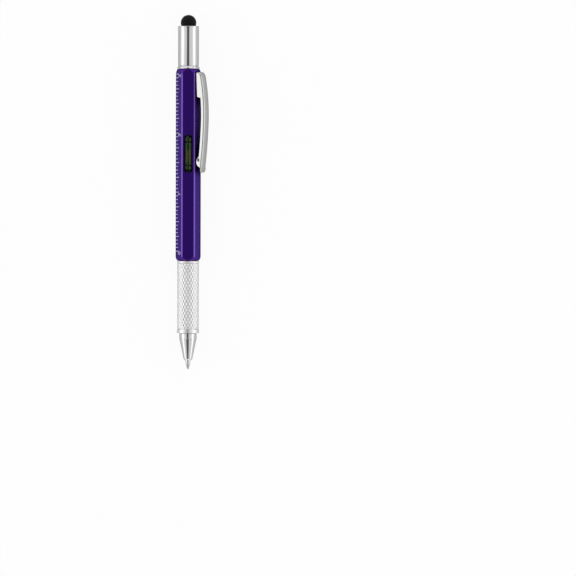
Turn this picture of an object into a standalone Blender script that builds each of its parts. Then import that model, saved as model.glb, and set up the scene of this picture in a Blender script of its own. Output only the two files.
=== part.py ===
"""Multi tool pen: a hexagonal twist-action ball pen with a spirit level, an inch ruler face, a pocket
clip, a reversible screwdriver bit under a cap and a touch-screen stylus on that cap.

Metres, +Z up. The pen lies along Y on one flat of its barrel, stylus towards +Y and nib towards -Y.
The origin is the middle of the flat that it rests on. The pen's axis runs along Y, half the width
across flats above that."""

import math

import bmesh
import bpy
from mathutils import Matrix, Vector

MM = 0.001

# Working clearances, each measured on the radius or on one side
press_fit = 0.06 * MM
running_fit = 0.1 * MM
seat_gap = 0.1 * MM
cut_overrun = 1.0 * MM
weld_distance = 0.001 * MM

# Facets of the round pieces
outer_sides = 40
inner_sides = 28
small_sides = 20
sharp_edge_angle = math.radians(30)
hexagon_side_degrees = 60

# Hexagonal barrel
barrel_across_flats = 9.65 * MM
barrel_corner_radius = 1.2 * MM
barrel_top_edge_height = 0.3 * MM
barrel_top_edge_radius = 4.62 * MM
barrel_top_chamfer_height = 2.0 * MM
barrel_top_chamfer_radius = 4.87 * MM
barrel_bottom_round_height = 2.0 * MM
barrel_bottom_radius = 4.55 * MM
barrel_round_steps = 5
web_below_level = 4.4 * MM
web_above_level = 12.5 * MM

# Refill and the ball at its point
refill_length = 67.0 * MM
refill_radius = 1.175 * MM
refill_tube_wall = 0.2 * MM
refill_travel = 5.5 * MM
nib_reach = 4.0 * MM
tip_visible_length = 5.6 * MM
tip_stem_length = 2.0 * MM
tip_shoulder_inset = 0.05 * MM
tip_cone_start = 2.35 * MM
tip_cone_radius = 0.98 * MM
tip_neck_start = 1.72 * MM
tip_neck_radius = 0.62 * MM
tip_lip_radius = 0.46 * MM
ball_radius = 0.35 * MM
ball_show = 0.3 * MM
ball_clearance = 0.04 * MM
ball_socket_depth = 0.5 * MM

# Twist mechanism: a carrier with a cross pin, a guide tube with a straight slot, a cam with a spiral one
carrier_wall = 0.6 * MM
carrier_length = 9.2 * MM
carrier_socket_depth = 5.0 * MM
carrier_pin_height = 7.2 * MM
pin_radius = 0.6 * MM
pin_tail_inset = 0.3 * MM
guide_wall = 0.5 * MM
cam_wall = 0.55 * MM
cam_half_turn = math.radians(180)
cam_slot_steps = 18
bearing_length = 7.0 * MM
bearing_flange_height = 0.75 * MM
bearing_flange_radius = 4.8 * MM
bearing_flange_round = 0.2 * MM
washer_height = 0.25 * MM
washer_margin = 0.5 * MM
spigot_length = 6.0 * MM
spigot_wall = 0.9 * MM
snap_ring_height = 0.4 * MM
snap_ring_depth = 0.25 * MM
snap_ring_width = 0.75 * MM
guide_end_margin = 0.4 * MM
slot_end_margin = 2.4 * MM
mechanism_headroom = 1.2 * MM

# Knurled grip
grip_length = 30.15 * MM
grip_radius = 4.68 * MM
grip_end_ring_length = 1.55 * MM
grip_end_ring_radius = 4.74 * MM
grip_groove_width = 0.35 * MM
grip_groove_depth = 0.25 * MM
grip_edge_chamfer = 0.25 * MM
grip_bore_fit = 0.35 * MM

# Nose cone
nose_collar_length = 2.4 * MM
nose_collar_radius = 3.73 * MM
nose_cone_length = 9.0 * MM
nose_cone_radius = 3.68 * MM
nose_end_radius = 1.85 * MM
nose_end_round = 0.3 * MM
nose_edge_chamfer = 0.15 * MM
nose_spigot_length = 5.0 * MM
nose_spigot_wall = 1.5 * MM
nose_bore_fit = 0.15 * MM
nose_tip_wall = 0.25 * MM

# Screwdriver bit, its socket and magnet
bit_across_flats = 4.0 * MM
bit_length = 24.0 * MM
bit_hex_length = 11.0 * MM
bit_reach = 7.5 * MM
bit_neck_radius = 1.5 * MM
bit_neck_taper = 0.8 * MM
cross_tip_length = 2.4 * MM
cross_tip_radius = 0.55 * MM
cross_groove_width = 1.1 * MM
cross_groove_depth = 1.0 * MM
blade_length = 3.0 * MM
blade_thickness = 0.6 * MM
socket_wall = 0.4 * MM
socket_floor = 0.8 * MM
socket_headroom = 1.2 * MM
magnet_height = 2.0 * MM

# Threaded collar between the barrel and the cap
collar_height = 1.2 * MM
collar_base_radius = 4.78 * MM
collar_wall = 0.7 * MM
collar_neck_length = 3.6 * MM
collar_spigot_length = 8.0 * MM
collar_land = 0.35 * MM
collar_flare_inset = 0.12 * MM
ring_groove_depth = 0.4 * MM
ring_groove_height = 0.7 * MM
ring_groove_rise = 1.3 * MM
ring_section_sides = 8

# Cap and stylus
cap_length = 17.0 * MM
cap_wall = 0.8 * MM
cap_end_wall = 1.0 * MM
cap_edge_round = 0.45 * MM
cap_mouth_chamfer = 0.2 * MM
core_flange_height = 0.6 * MM
core_flange_inset = 0.15 * MM
core_radius = 2.0 * MM
core_height = 2.6 * MM
stylus_radius = 3.35 * MM
stylus_height = 4.7 * MM
stylus_skirt_height = 0.9 * MM
stylus_skirt_inset = 0.15 * MM
round_steps = 4
dome_steps = 9

# Spirit level in the upper flat
level_slot_length = 16.6 * MM
level_slot_width = 3.87 * MM
level_pocket_depth = 3.6 * MM
frame_drop = 0.12 * MM
frame_floor = 0.35 * MM
vial_radius = 1.5 * MM
vial_wall = 0.3 * MM
vial_drop = 0.35 * MM
vial_end_wall = 0.7 * MM
vial_end_gap = 0.35 * MM
vial_plug_length = 1.3 * MM
index_spacing = 10.16 * MM
index_width = 0.45 * MM
index_thickness = 0.07 * MM
fluid_gap = 0.06 * MM
bubble_half_length = 2.6 * MM
bubble_side_inset = 0.2 * MM
bubble_top_gap = 0.06 * MM
bubble_depth = 1.3 * MM
bubble_film = 0.04 * MM
bubble_rest_offset = -0.9 * MM

# Pocket clip on the upper right flat, heights measured off that flat
clip_face_angle = math.radians(hexagon_side_degrees)
clip_top_setback = 1.5 * MM
clip_length = 43.2 * MM
clip_width = 3.9 * MM
clip_sheet = 0.5 * MM
clip_depth = 1.9 * MM
clip_crown_height = 4.36 * MM
clip_crown_distance = 18.4 * MM
clip_top_drop = 1.55 * MM
clip_top_round = 1.5 * MM
clip_end_drop = 2.1 * MM
clip_end_exponent = 1.7
clip_root_length = 10.5 * MM
clip_root_gap = 0.28 * MM
clip_root_lean = 0.35 * MM
clip_step_round = 0.5 * MM
clip_toe_setback = 4.6 * MM
clip_toe_gap = 0.12 * MM
clip_toe_radius = 2.5 * MM
clip_toe_rise = 3.2 * MM
clip_tip_sheet = 0.5 * MM
clip_curl_length = 1.9 * MM
clip_curl_width = 0.5 * MM
clip_curl_height = 0.85 * MM
clip_steps = 9
lug_length = 7.0 * MM
lug_width = 1.6 * MM
lug_depth = 1.1 * MM
lug_inset = 1.6 * MM
lug_side_clearance = 0.2 * MM
lug_end_clearance = 0.3 * MM

# Colours and finishes
violet = (0.045, 0.012, 0.16, 1)
chrome = (0.82, 0.82, 0.83, 1)
steel = (0.62, 0.62, 0.63, 1)
brass = (0.75, 0.56, 0.25, 1)
black = (0.012, 0.012, 0.013, 1)
graphite = (0.05, 0.05, 0.055, 1)
white = (0.78, 0.78, 0.76, 1)
glass = (0.75, 0.85, 0.72, 1)
green = (0.05, 0.12, 0.035, 1)
olive = (0.28, 0.27, 0.1, 1)


# Sizes that follow from the ones above

flat_height = barrel_across_flats / 2

carrier_bore = refill_radius + press_fit
carrier_radius = carrier_bore + carrier_wall
guide_bore = carrier_radius + running_fit
guide_radius = guide_bore + guide_wall
cam_bore = guide_radius + running_fit
cam_radius = cam_bore + cam_wall
barrel_lower_bore = cam_radius + press_fit

pin_slot_radius = pin_radius + running_fit
snap_ring_space = seat_gap + snap_ring_height + seat_gap
nose_length = nose_collar_length + nose_cone_length
below_barrel = 3 * seat_gap + bearing_flange_height + grip_length + nose_length + nib_reach
pin_depth = refill_length - below_barrel - carrier_socket_depth + carrier_pin_height
cam_depth = pin_depth + refill_travel + pin_slot_radius + slot_end_margin
lower_bore_depth = cam_depth + snap_ring_space + guide_end_margin + mechanism_headroom

hex_corner_share = 1 / math.cos(math.radians(hexagon_side_degrees / 2))
socket_across_flats = bit_across_flats + 2 * running_fit
socket_radius = socket_across_flats / 2 * hex_corner_share + socket_wall
collar_bore = socket_radius + press_fit
neck_radius = collar_bore + collar_wall
barrel_upper_bore = neck_radius + press_fit
cap_bore = neck_radius + running_fit
cap_radius = cap_bore + cap_wall

above_barrel = seat_gap + collar_height + collar_neck_length + bit_reach
socket_depth = bit_length + seat_gap + magnet_height + seat_gap + socket_floor - above_barrel
upper_bore_depth = socket_depth + socket_headroom

barrel_length = lower_bore_depth + web_below_level + level_slot_length + web_above_level + upper_bore_depth
barrel_flat_length = barrel_length - barrel_top_chamfer_height - barrel_bottom_round_height
barrel_top = barrel_flat_length / 2 + barrel_top_chamfer_height
barrel_bottom = barrel_top - barrel_length
lower_bore_end = barrel_bottom + lower_bore_depth
upper_bore_end = barrel_top - upper_bore_depth
level_centre = lower_bore_end + web_below_level + level_slot_length / 2

flange_top = barrel_bottom - seat_gap
flange_bottom = flange_top - bearing_flange_height
grip_top = flange_bottom - seat_gap
grip_bottom = grip_top - grip_length
nose_top = grip_bottom - seat_gap
nose_bottom = nose_top - nose_length
nib = nose_bottom - nib_reach
refill_end = nib + refill_length

carrier_bottom = refill_end - carrier_socket_depth
carrier_top = carrier_bottom + carrier_length
pin_rest = barrel_bottom + pin_depth
cam_top = barrel_bottom + cam_depth
cam_bottom = flange_top + bearing_length + seat_gap
snap_ring_bottom = cam_top + seat_gap
guide_top = cam_top + snap_ring_space + guide_end_margin
washer_top = flange_bottom - seat_gap
spigot_top = washer_top - washer_height - seat_gap
spigot_radius = guide_radius + spigot_wall
grip_bore = guide_bore + grip_bore_fit

nose_bore = refill_radius + nose_bore_fit
nose_spigot_radius = nose_bore + nose_spigot_wall

collar_bottom = barrel_top + seat_gap
collar_top = collar_bottom + collar_height
neck_top = collar_top + collar_neck_length
bit_seat = neck_top + bit_reach - bit_length
magnet_top = bit_seat - seat_gap
magnet_bottom = magnet_top - magnet_height
socket_bottom = magnet_bottom - seat_gap - socket_floor
cap_bottom = collar_top + seat_gap
cap_top = cap_bottom + cap_length
stylus_bottom = cap_top + seat_gap

vial_height = flat_height - vial_drop - vial_radius
vial_bore = vial_radius - vial_wall
vial_length = level_slot_length - 2 * (press_fit + vial_end_gap + frame_floor)
clip_top = barrel_top - clip_top_setback
clip_toe_distance = clip_length - clip_toe_setback


def material(name, colour, roughness, metallic):
    """A plain Principled finish."""
    finish = bpy.data.materials.new(name)
    finish.use_nodes = True
    shader = finish.node_tree.nodes["Principled BSDF"]
    shader.inputs["Base Color"].default_value = colour
    shader.inputs["Roughness"].default_value = roughness
    shader.inputs["Metallic"].default_value = metallic
    return finish


def add_empty(name, location, parent=None):
    """A named point that pieces are parented to."""
    empty = bpy.data.objects.new(name, None)
    empty.location = location
    empty.parent = parent
    bpy.context.scene.collection.objects.link(empty)
    return empty


def add_object(name, mesh, parent, finish=None, location=(0, 0, 0), turn=0):
    """Turns a bmesh into an object under its parent, turned about the parent's Y."""
    bmesh.ops.remove_doubles(mesh, verts=mesh.verts, dist=weld_distance)
    bmesh.ops.recalc_face_normals(mesh, faces=mesh.faces)
    data = bpy.data.meshes.new(name)
    mesh.to_mesh(data)
    mesh.free()
    data.shade_smooth()
    data.set_sharp_from_angle(angle=sharp_edge_angle)
    piece = bpy.data.objects.new(name, data)
    piece.parent = parent
    piece.location = location
    piece.rotation_euler = (0, turn, 0)
    if finish:
        data.materials.append(finish)
    bpy.context.scene.collection.objects.link(piece)
    return piece


def add_cutter(name, mesh, parent, location=(0, 0, 0), turn=0):
    """An object that only shapes others, and is neither rendered nor built."""
    cutter = add_object(name, mesh, parent, None, location, turn)
    cutter.hide_render = True
    cutter.display_type = "WIRE"
    return cutter


def combine(piece, other, operation="DIFFERENCE"):
    """Cuts, joins or intersects a piece with another object."""
    modifier = piece.modifiers.new(operation.lower(), "BOOLEAN")
    modifier.operation = operation
    modifier.solver = "EXACT"
    modifier.object = other


def turned(outline, sides):
    """A round body about Y, from (radius, y) points. An outline that ends on the axis is left open there."""
    mesh = bmesh.new()
    corners = [mesh.verts.new((radius, y, 0)) for radius, y in outline]
    pairs = list(zip(corners, corners[1:]))
    if outline[0][0] > 0 or outline[-1][0] > 0:
        pairs.append((corners[-1], corners[0]))
    edges = [mesh.edges.new(pair) for pair in pairs]
    bmesh.ops.spin(
        mesh,
        geom=corners + edges,
        axis=(0, 1, 0),
        cent=(0, 0, 0),
        angle=2 * math.pi,
        steps=sides,
        use_merge=False,
    )
    bmesh.ops.remove_doubles(mesh, verts=mesh.verts, dist=weld_distance)
    return mesh


def prism(outline, depth_start, depth_end, place):
    """A straight body: the outline is extruded, and place turns (a, b, depth) into a point."""
    mesh = bmesh.new()
    base = mesh.faces.new([mesh.verts.new(place(a, b, depth_start)) for a, b in outline])
    grown = bmesh.ops.extrude_face_region(mesh, geom=[base])
    moved = [item for item in grown["geom"] if isinstance(item, bmesh.types.BMVert)]
    shift = Vector(place(0, 0, depth_end)) - Vector(place(0, 0, depth_start))
    bmesh.ops.translate(mesh, verts=moved, vec=shift)
    bmesh.ops.recalc_face_normals(mesh, faces=mesh.faces)
    return mesh


def along_y(a, b, depth):
    """An outline in XZ, with its depth along Y."""
    return (a, depth, b)


def along_z(a, b, depth):
    """An outline in XY, with its depth along Z."""
    return (a, b, depth)


def along_x(a, b, depth):
    """An outline in YZ, with its depth along X."""
    return (depth, a, b)


def arc(centre, radius, start, end, steps):
    """Points of an arc, angles in degrees."""
    angles = [math.radians(start + (end - start) * step / steps) for step in range(steps + 1)]
    return [(centre[0] + radius * math.cos(angle), centre[1] + radius * math.sin(angle)) for angle in angles]


def rectangle(low_a, high_a, low_b, high_b):
    """Corners of a rectangle."""
    return [(low_a, low_b), (high_a, low_b), (high_a, high_b), (low_a, high_b)]


def slot_outline(length, width, steps=8):
    """A long hole with round ends, its length along the second axis."""
    reach = (length - width) / 2
    upper = arc((0, reach), width / 2, 0, 180, steps)
    lower = arc((0, -reach), width / 2, 180, 360, steps)
    return upper + lower


def hexagon(across_flats):
    """A sharp hexagon with a corner at each side, as on the barrel."""
    return arc((0, 0), across_flats / 2 * hex_corner_share, 0, 5 * hexagon_side_degrees, 5)


def rounded_corner_reach(across_flats, corner_radius):
    """Distance from the axis to the outside of a round corner."""
    return (across_flats / 2 - corner_radius) * hex_corner_share + corner_radius


def rounded_hexagon(across_flats, corner_radius, steps=4):
    """A hexagon with round corners."""
    reach = (across_flats / 2 - corner_radius) * hex_corner_share
    points = []
    for corner in range(6):
        middle = hexagon_side_degrees * corner
        centre = (reach * math.cos(math.radians(middle)), reach * math.sin(math.radians(middle)))
        start = middle - hexagon_side_degrees / 2
        points += arc(centre, corner_radius, start, start + hexagon_side_degrees, steps)
    return points


def shaft(radius, low, high, sides):
    """A plain round bar about Y."""
    return turned([(0, low), (radius, low), (radius, high), (0, high)], sides)


def ring(inner, outer, low, high, sides):
    """A plain round ring about Y."""
    return turned([(inner, low), (outer, low), (outer, high), (inner, high)], sides)


def torus(centre_radius, section_radius, height, sides, section_sides):
    """A ring of round section about Y."""
    section = arc((centre_radius, height), section_radius, 0, 360, section_sides)[:-1]
    return turned(section, sides)


def barrel_turning_outline():
    """What the lathe leaves of the bar: a round lower end, and a chamfer with a broken edge at the top."""
    corner_radius = rounded_corner_reach(barrel_across_flats, barrel_corner_radius)
    drop = corner_radius - barrel_bottom_radius
    sweep_radius = (barrel_bottom_round_height**2 + drop**2) / (2 * drop)
    points = [(0, barrel_bottom - cut_overrun), (barrel_bottom_radius, barrel_bottom - cut_overrun)]
    for step in range(barrel_round_steps + 1):
        rise = barrel_bottom_round_height * step / barrel_round_steps
        fall = barrel_bottom_round_height - rise
        inset = sweep_radius - math.sqrt(sweep_radius**2 - fall**2)
        points.append((corner_radius - inset, barrel_bottom + rise))
    clear_radius = corner_radius + cut_overrun
    chamfer_drop = barrel_top_chamfer_height - barrel_top_edge_height
    chamfer_slope = (corner_radius - barrel_top_chamfer_radius) / chamfer_drop
    clear_drop = (clear_radius - barrel_top_chamfer_radius) / chamfer_slope
    points += [
        (clear_radius, barrel_bottom + barrel_bottom_round_height + cut_overrun),
        (clear_radius, barrel_top - barrel_top_edge_height - clear_drop),
        (barrel_top_chamfer_radius, barrel_top - barrel_top_edge_height),
        (barrel_top_edge_radius, barrel_top),
        (barrel_top_edge_radius, barrel_top + cut_overrun),
        (0, barrel_top + cut_overrun),
    ]
    return points


def build_barrel(axis, finish):
    """Hexagonal bar with turned ends, bored from both ends, with the level pocket and the clip's slot."""
    outline = rounded_hexagon(barrel_across_flats, barrel_corner_radius)
    barrel = add_object("hex_barrel", prism(outline, barrel_bottom, barrel_top, along_y), axis, finish)

    envelope = add_cutter("barrel_turning_envelope", turned(barrel_turning_outline(), outer_sides), axis)
    combine(barrel, envelope, "INTERSECT")

    upper = shaft(barrel_upper_bore, upper_bore_end, barrel_top + cut_overrun, outer_sides)
    combine(barrel, add_cutter("upper_bore_cutter", upper, axis))
    lower = shaft(barrel_lower_bore, barrel_bottom - cut_overrun, lower_bore_end, outer_sides)
    combine(barrel, add_cutter("lower_bore_cutter", lower, axis))

    pocket_outline = slot_outline(level_slot_length, level_slot_width)
    pocket = prism(pocket_outline, flat_height - level_pocket_depth, flat_height + cut_overrun, along_z)
    combine(barrel, add_cutter("level_pocket_cutter", pocket, axis, (0, level_centre, 0)))

    slot_top = clip_top - lug_inset + lug_end_clearance
    slot_bottom = clip_top - lug_inset - lug_length - lug_end_clearance
    half_width = lug_width / 2 + lug_side_clearance
    slot_outline_points = rectangle(-half_width, half_width, slot_bottom, slot_top)
    slot = prism(slot_outline_points, neck_radius, flat_height + cut_overrun, along_z)
    combine(barrel, add_cutter("clip_slot_cutter", slot, axis, turn=clip_face_angle))


def build_collar(axis, finish):
    """Flared ring on the barrel's end: its spigot holds it in the barrel, its neck carries the cap."""
    groove_bottom = collar_top + ring_groove_rise
    groove_top = groove_bottom + ring_groove_height
    groove_radius = neck_radius - ring_groove_depth
    land_top = collar_bottom + collar_land
    flare_middle = (collar_base_radius + cap_radius) / 2 - collar_flare_inset
    outline = [
        (collar_bore, collar_bottom - collar_spigot_length),
        (neck_radius, collar_bottom - collar_spigot_length),
        (neck_radius, collar_bottom),
        (collar_base_radius, collar_bottom),
        (collar_base_radius, land_top),
        (flare_middle, (land_top + collar_top) / 2),
        (cap_radius, collar_top),
        (neck_radius, collar_top),
        (neck_radius, groove_bottom),
        (groove_radius, groove_bottom),
        (groove_radius, groove_top),
        (neck_radius, groove_top),
        (neck_radius, neck_top),
        (collar_bore, neck_top),
    ]
    add_object("threaded_collar", turned(outline, outer_sides), axis, finish)


def build_cap_seal(axis, finish):
    """Rubber ring in the neck's groove."""
    inner = neck_radius - ring_groove_depth + press_fit
    outer = cap_bore - press_fit
    section = (outer - inner) / 2
    height = collar_top + ring_groove_rise + ring_groove_height / 2
    mesh = torus(inner + section, section, height, inner_sides, ring_section_sides)
    add_object("cap_seal_ring", mesh, axis, finish)


def build_bit_socket(axis, finish):
    """Bush with a hexagonal hole, pressed into the collar."""
    body = shaft(socket_radius, socket_bottom, neck_top, inner_sides)
    socket = add_object("bit_socket", body, axis, finish)
    hole = prism(hexagon(socket_across_flats), magnet_bottom - seat_gap, neck_top + cut_overrun, along_y)
    combine(socket, add_cutter("bit_socket_cutter", hole, axis))


def build_bit_magnet(axis, finish):
    """Small magnet under the bit."""
    mesh = shaft(bit_across_flats / 2, magnet_bottom, magnet_top, small_sides)
    add_object("bit_magnet", mesh, axis, finish)


def build_driver_bit(axis, finish):
    """Reversible bit: a cross point at one end, a flat blade at the other."""
    hex_corner = bit_across_flats / 2 * hex_corner_share
    hex_low = bit_seat + (bit_length - bit_hex_length) / 2
    hex_high = hex_low + bit_hex_length
    point = bit_seat + bit_length
    bit = add_object("driver_bit", prism(hexagon(bit_across_flats), bit_seat, point, along_y), axis, finish)
    envelope_outline = [
        (0, bit_seat - cut_overrun),
        (bit_neck_radius, bit_seat - cut_overrun),
        (bit_neck_radius, hex_low - bit_neck_taper),
        (hex_corner + cut_overrun, hex_low + cut_overrun),
        (hex_corner + cut_overrun, hex_high - cut_overrun),
        (bit_neck_radius, hex_high + bit_neck_taper),
        (bit_neck_radius, point - cross_tip_length),
        (cross_tip_radius, point),
        (0, point),
    ]
    envelope = add_cutter("bit_turning_envelope", turned(envelope_outline, small_sides), axis)
    combine(bit, envelope, "INTERSECT")
    for quarter in range(4):
        add_cross_groove(bit, axis, point, quarter)
    for side, name in ((1, "front"), (-1, "back")):
        near = side * blade_thickness / 2
        far = side * (bit_neck_radius + cut_overrun)
        wedge = [
            (bit_seat - cut_overrun, near),
            (bit_seat - cut_overrun, far),
            (bit_seat + blade_length, far),
        ]
        reach = bit_neck_radius + cut_overrun
        flank = prism(wedge, -reach, reach, along_x)
        combine(bit, add_cutter(f"blade_{name}_cutter", flank, axis))


def add_cross_groove(bit, axis, point, quarter):
    """One of the four grooves between the wings of the cross point."""
    groove = rectangle(0, bit_neck_radius + cut_overrun, 0, bit_neck_radius + cut_overrun)
    start = cross_groove_width / 4
    outline = [(start + a, start + b) for a, b in groove]
    mesh = prism(outline, point - cross_tip_length - cross_groove_depth, point + cut_overrun, along_y)
    cutter = add_cutter(f"cross_groove_{quarter + 1}_cutter", mesh, axis, turn=quarter * math.radians(90))
    combine(bit, cutter)


def build_cap(axis, finish):
    """Bright tube over the bit, closed by the end wall that carries the stylus."""
    wall_bottom = cap_top - cap_end_wall
    hole = core_radius + press_fit
    edge = arc((cap_radius - cap_edge_round, cap_top - cap_edge_round), cap_edge_round, 0, 90, round_steps)
    outline = [
        (cap_bore + cap_mouth_chamfer, cap_bottom),
        (cap_radius, cap_bottom),
        *edge,
        (hole, cap_top),
        (hole, wall_bottom),
        (cap_bore, wall_bottom),
        (cap_bore, cap_bottom + cap_mouth_chamfer),
    ]
    add_object("stylus_cap", turned(outline, outer_sides), axis, finish)


def build_stylus_core(axis, finish):
    """Flanged plug through the cap's end wall: the rubber tip fits over its post."""
    flange_top_height = cap_top - cap_end_wall - press_fit
    flange_radius = cap_bore - core_flange_inset
    outline = [
        (0, flange_top_height - core_flange_height),
        (flange_radius, flange_top_height - core_flange_height),
        (flange_radius, flange_top_height),
        (core_radius, flange_top_height),
        (core_radius, stylus_bottom + core_height),
        (0, stylus_bottom + core_height),
    ]
    add_object("stylus_core", turned(outline, inner_sides), axis, finish)


def build_stylus_tip(axis, finish):
    """Hollow rubber dome."""
    skirt_top = stylus_bottom + stylus_skirt_height
    dome_height = stylus_height - stylus_skirt_height
    dome = []
    for step in range(dome_steps + 1):
        angle = math.radians(90 * step / dome_steps)
        dome.append((stylus_radius * math.cos(angle), skirt_top + dome_height * math.sin(angle)))
    dome[-1] = (0, stylus_bottom + stylus_height)
    socket = core_radius + press_fit
    outline = [
        (0, stylus_bottom + core_height + seat_gap),
        (socket, stylus_bottom + core_height + seat_gap),
        (socket, stylus_bottom),
        (stylus_radius - stylus_skirt_inset, stylus_bottom),
        *dome,
    ]
    add_object("stylus_tip", turned(outline, outer_sides), axis, finish)


def clip_crest(distance):
    """Height of the clip's outer face over the flat, at a distance from its top end."""
    if distance < clip_crown_distance:
        share = (clip_crown_distance - distance) / clip_crown_distance
        return clip_crown_height - clip_top_drop * share**2
    share = (distance - clip_crown_distance) / (clip_length - clip_crown_distance)
    return clip_crown_height - clip_end_drop * share**clip_end_exponent


def clip_side_outline():
    """Side view of the clip as (-distance, height): crest, tip, toe, arm, root."""
    corner_distance = clip_top_round
    corner_height = clip_crest(corner_distance) - clip_top_round
    points = arc((-corner_distance, corner_height), clip_top_round, 0, 90, round_steps)
    crest_start = corner_distance
    tip_start = clip_length - clip_tip_sheet
    for step in range(1, 2 * clip_steps + 1):
        distance = crest_start + (tip_start - crest_start) * step / (2 * clip_steps)
        points.append((-distance, clip_crest(distance)))
    tip_height = clip_crest(clip_length) - clip_tip_sheet
    points.append((-clip_length, tip_height + clip_tip_sheet / 2))
    points.append((-tip_start, tip_height))
    toe_centre = clip_toe_gap + clip_toe_radius
    points += arc((-clip_toe_distance, toe_centre), clip_toe_radius, 225, 315, round_steps)
    arm_end = clip_toe_distance - clip_toe_rise
    arm_start = clip_root_length + clip_step_round
    for step in range(clip_steps + 1):
        distance = arm_end + (arm_start - arm_end) * step / clip_steps
        points.append((-distance, clip_crest(distance) - clip_depth))
    root_low = clip_root_gap + clip_root_lean
    points.append((-clip_root_length, clip_crest(clip_root_length) - clip_depth - clip_step_round))
    points.append((-clip_root_length, root_low))
    points.append((0, clip_root_gap))
    return points


def clip_channel_outline():
    """Side view of the hollow under the arm, from the root block to the toe."""
    arm_end = clip_toe_distance - clip_toe_rise
    arm_start = clip_root_length + clip_step_round
    roof = []
    for step in range(clip_steps + 1):
        distance = arm_start + (arm_end - arm_start) * step / clip_steps
        roof.append((-distance, clip_crest(distance) - clip_sheet))
    return [*roof, (-arm_end, 0), (-arm_start, 0)]


def build_clip(clip_axis, finish):
    """Pressed clip: a bowed channel with a solid root, a lug into the barrel and a curled toe."""
    half = clip_width / 2
    body = prism(clip_side_outline(), -half, half, along_x)
    clip = add_object("pocket_clip", body, clip_axis, finish)

    channel_half = half - clip_sheet
    channel = prism(clip_channel_outline(), -channel_half, channel_half, along_x)
    combine(clip, add_cutter("clip_channel_cutter", channel, clip_axis))

    curl_outline = slot_outline(clip_curl_length, clip_curl_width, round_steps)
    curl_points = [(b - clip_toe_distance, a + clip_curl_height) for a, b in curl_outline]
    curl = prism(curl_points, -half - cut_overrun, half + cut_overrun, along_x)
    combine(clip, add_cutter("clip_curl_cutter", curl, clip_axis))

    lug_outline = rectangle(-lug_inset - lug_length, -lug_inset, -lug_depth, clip_depth)
    lug = prism(lug_outline, -lug_width / 2, lug_width / 2, along_x)
    combine(clip, add_cutter("clip_lug_shape", lug, clip_axis), "UNION")


def build_level(axis, finishes):
    """Spirit level: a moulded frame in the barrel's pocket with a vial, its plug, marks, fluid and bubble."""
    vial_axis = add_empty("vial_axis", (0, level_centre, vial_height), axis)
    frame_outline = slot_outline(level_slot_length - 2 * press_fit, level_slot_width - 2 * press_fit)
    frame_bottom = flat_height - level_pocket_depth + seat_gap
    frame_mesh = prism(frame_outline, frame_bottom, flat_height - frame_drop, along_z)
    frame = add_object("level_frame", frame_mesh, axis, finishes["frame"], (0, level_centre, 0))
    seat_radius = vial_radius + index_thickness + press_fit
    seat_half = vial_length / 2 + vial_end_gap / 2
    seat = shaft(seat_radius, -seat_half, seat_half, inner_sides)
    combine(frame, add_cutter("vial_seat_cutter", seat, vial_axis))
    mouth_outline = rectangle(-seat_radius, seat_radius, -seat_half, seat_half)
    mouth = prism(mouth_outline, 0, vial_radius + vial_drop + cut_overrun, along_z)
    combine(frame, add_cutter("vial_mouth_cutter", mouth, vial_axis))

    low = -vial_length / 2
    high = vial_length / 2
    tube_outline = [
        (0, low),
        (vial_radius, low),
        (vial_radius, high),
        (vial_bore, high),
        (vial_bore, low + vial_end_wall),
        (0, low + vial_end_wall),
    ]
    add_object("level_vial", turned(tube_outline, inner_sides), vial_axis, finishes["vial"])
    plug = shaft(vial_bore - press_fit, high - vial_plug_length, high, inner_sides)
    add_object("vial_plug", plug, vial_axis, finishes["plug"])

    for name, side in (("upper", 1), ("lower", -1)):
        centre = side * index_spacing / 2
        inner = vial_radius + press_fit / 2
        outer = vial_radius + index_thickness
        mark = ring(inner, outer, centre - index_width / 2, centre + index_width / 2, inner_sides)
        add_object(f"level_mark_{name}", mark, vial_axis, finishes["mark"])

    fluid_low = low + vial_end_wall + fluid_gap
    fluid_high = high - vial_plug_length - fluid_gap
    fluid_radius = vial_bore - fluid_gap
    fluid = add_object(
        "level_fluid", shaft(fluid_radius, fluid_low, fluid_high, inner_sides), vial_axis, finishes["fluid"]
    )
    combine(fluid, add_cutter("bubble_space_cutter", bubble_mesh(bubble_film), vial_axis))
    add_object("level_bubble", bubble_mesh(0), vial_axis, finishes["bubble"])


def bubble_mesh(film):
    """The bubble against the top of the vial's bore, a little off its middle, grown by a film."""
    half_depth = bubble_depth / 2
    half_width = vial_bore - bubble_side_inset
    mesh = bmesh.new()
    bmesh.ops.create_uvsphere(mesh, u_segments=inner_sides // 2, v_segments=inner_sides // 2, radius=1)
    sizes = (half_width + film, bubble_half_length + film, half_depth + film, 1)
    bmesh.ops.transform(mesh, matrix=Matrix.Diagonal(sizes), verts=mesh.verts)
    rise = vial_bore - fluid_gap - bubble_top_gap - half_depth
    bmesh.ops.translate(mesh, verts=mesh.verts, vec=(0, bubble_rest_offset, rise + film))
    return mesh


def build_bearing(axis, finish):
    """Flanged bush in the barrel's lower end, in which the grip turns."""
    edge = bearing_flange_round
    outline = [
        (cam_bore, flange_bottom),
        (bearing_flange_radius - edge, flange_bottom),
        (bearing_flange_radius, flange_bottom + edge),
        (bearing_flange_radius, flange_top - edge),
        (bearing_flange_radius - edge, flange_top),
        (cam_radius, flange_top),
        (cam_radius, flange_top + bearing_length),
        (cam_bore, flange_top + bearing_length),
    ]
    add_object("twist_bearing", turned(outline, outer_sides), axis, finish)


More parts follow.
